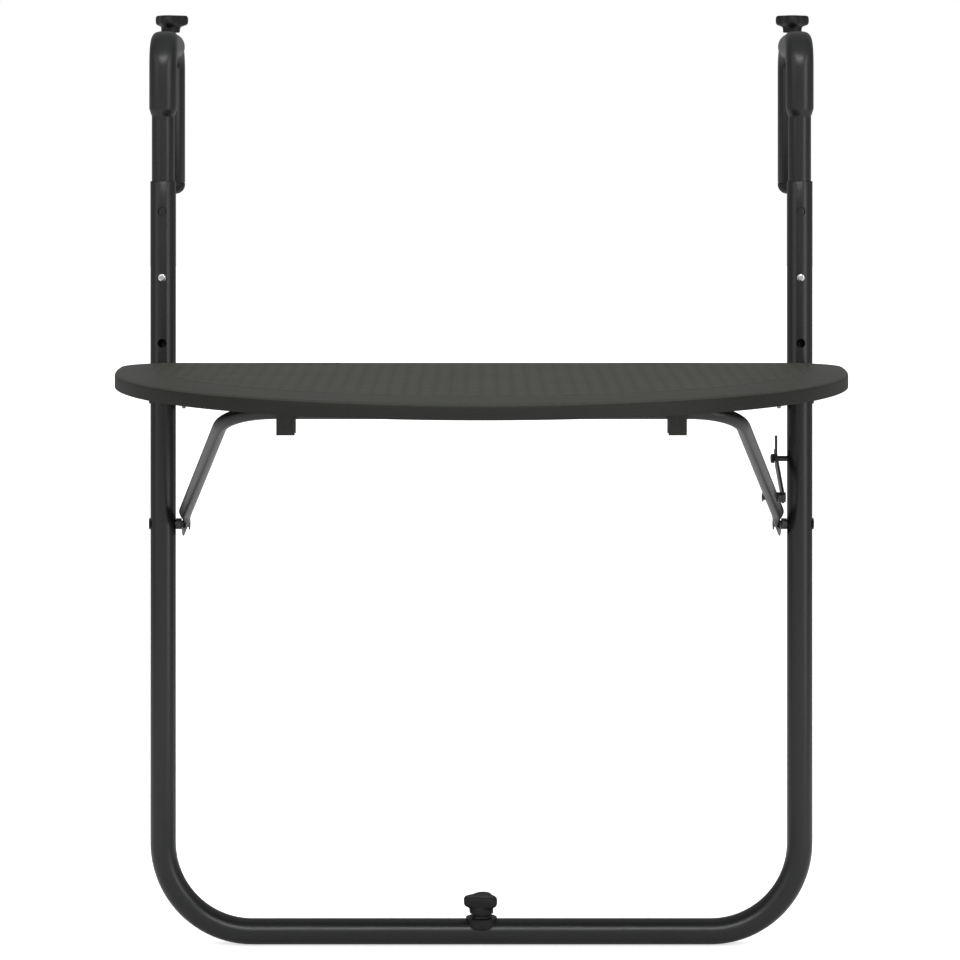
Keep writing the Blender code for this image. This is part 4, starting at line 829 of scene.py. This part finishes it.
bpy.ops.mesh.normals_make_consistent(inside=False)
bpy.ops.object.mode_set(mode="OBJECT")
for sign in (-1, 1):
    drill(brace, (sign * 0.255, 0, up(brace_height)), (sign * 0.285, 0, up(brace_height)), bolt_hole)
drill(brace, (0, bar_y, up(0.490)), (0, bar_y, up(bar_height)), 0.002)
hand_over(brace, anthracite, "powder_coat", "brace", "brace_tube")


# Latch. A stamped steel arm pivots on the right leg of the brace; its notch drops over a pin in the
# upright when the table is open, and its raised end is the finger tab.

dress(blackened, "latch_arm", "latch_spacer", "latch_bolt", "latch_retainer")


# Railing stop. A plastic saddle, a slotted steel plate with a rubber buffer, and a knob clamp on the
# bottom tube, set to the railing's thickness so that the table hangs upright.

def rubber():
    """Matt black rubber with a dusty bloom."""
    skin = Finish("rubber", IOR=1.45, Specular_IOR_Level=0.25)
    bloom = skin.noise(160, 4.0)
    colour = skin.tint((0.013, 0.013, 0.013), (0.026, 0.026, 0.026), bloom)
    return skin.feed(Base_Color=colour, Roughness=0.68 + bloom * 0.18,
                     Normal=skin.relief(bloom, 0.0001, 0.4))


dress(moulded_black, "stop_saddle")
dress(anthracite, "stop_plate")
dress(rubber(), "stop_pad")
dress(blackened, "stop_washer", "stop_screw")
foot_knob = clamp_knob("foot_knob", 0.01075, 0.0043, 0.0008)
knob = copy_in_place(foot_knob, "stop_hand_knob", (0, 0, up(0.0281)), 200)
bpy.data.objects.remove(foot_knob, do_unlink=True)
hand_over(knob, moulded_black, "black_plastic", "stop_handle", "stop_knob", smooth=50)


# Studio. A pale floor under the frame, a white surround that is brighter in front when the metal
# mirrors it, soft light from above and from the right, and a level camera at the hooks' height.

def pale_floor():
    """Off-white floor that looks white where it is lit, keeps the soft shadow, and fades out far away."""
    paper = Finish("floor", Roughness=0.9, Specular_IOR_Level=0.0, Emission_Strength=1.0)
    speck = paper.noise(3, 2.0)
    colour = paper.tint((0.80, 0.80, 0.80), (0.82, 0.82, 0.82), speck)
    apart = paper.add("ShaderNodeVectorMath", {"operation": "LENGTH"}, [paper.place()], output="Value")
    far = paper.add("ShaderNodeMapRange", {"interpolation_type": "SMOOTHSTEP"},
                    {"Value": apart, "From Min": 0.5, "From Max": 2.5, "To Min": 0.62, "To Max": 1.0})
    watched = paper.add("ShaderNodeLightPath", output="Is Camera Ray")
    glow = paper.tint((0.0, 0.0, 0.0), (1.0, 1.0, 1.0), watched * far)
    return paper.feed(Base_Color=colour, Emission_Color=glow)


bpy.ops.object.select_all(action="DESELECT")
bpy.ops.mesh.primitive_plane_add(size=24, location=(0, 0, -seat_height - 0.0005))
floor = bpy.context.object
floor.name = "floor"
floor.data.materials.append(pale_floor())

surround = bpy.data.worlds.new("surround")
bpy.context.scene.world = surround
surround.use_nodes = True
sky = surround.node_tree
paths = sky.nodes.new("ShaderNodeLightPath")
level = sky.nodes.new("ShaderNodeMix")
level.inputs[2].default_value = 0.50
level.inputs[3].default_value = 1.0
sky.links.new(paths.outputs["Is Camera Ray"], level.inputs[0])
heading = sky.nodes.new("ShaderNodeTexCoord")
parted = sky.nodes.new("ShaderNodeSeparateXYZ")
sky.links.new(heading.outputs["Generated"], parted.inputs[0])
front_wall = sky.nodes.new("ShaderNodeMapRange")
for socket, value in (("From Min", 0.1), ("From Max", -0.7), ("To Min", 0.33), ("To Max", 0.58)):
    front_wall.inputs[socket].default_value = value
sky.links.new(parted.outputs["Y"], front_wall.inputs["Value"])
dimmed = sky.nodes.new("ShaderNodeMix")
sky.links.new(front_wall.outputs["Result"], dimmed.inputs[3])
sky.links.new(paths.outputs["Is Glossy Ray"], dimmed.inputs[0])
sky.links.new(level.outputs[0], dimmed.inputs[2])
sky.links.new(dimmed.outputs[0], sky.nodes["Background"].inputs["Strength"])
sky.nodes["Background"].inputs["Color"].default_value = (1, 1, 1, 1)

for name, place, aim, width, height, power in (
        ("side_strip", (2.2, -1.9, -0.2), (0, 0, -0.2), 1.0, 2.6, 22),
        ("front_strip", (0, -2.6, 1.25), (0, 0, -0.6), 2.6, 0.5, 40),
        ("fill", (-2.6, -2.0, 0.6), (0, 0, -0.3), 2.0, 2.0, 10),
        ("overhead", (0, -0.3, 2.4), (0, -0.1, -0.3), 2.0, 2.0, 60)):
    lamp = bpy.data.lights.new(name, "AREA")
    lamp.shape = "RECTANGLE"
    lamp.size = width
    lamp.size_y = height
    lamp.energy = power
    holder = bpy.data.objects.new(name, lamp)
    bpy.context.scene.collection.objects.link(holder)
    holder.location = place
    holder.visible_glossy = name != "overhead"
    holder.rotation_euler = (Vector(aim) - Vector(place)).to_track_quat("-Z", "Y").to_euler()

lens = bpy.data.cameras.new("level_camera")
lens.lens = 125.1
lens.sensor_width = 36
lens.shift_y = -0.399
camera = bpy.data.objects.new("level_camera", lens)
bpy.context.scene.collection.objects.link(camera)
camera.location = (-0.0013, -3.0, up(0.7617))
camera.rotation_euler = (math.pi / 2, 0, 0)
bpy.context.scene.camera = camera
bpy.context.scene.view_settings.view_transform = "Standard"
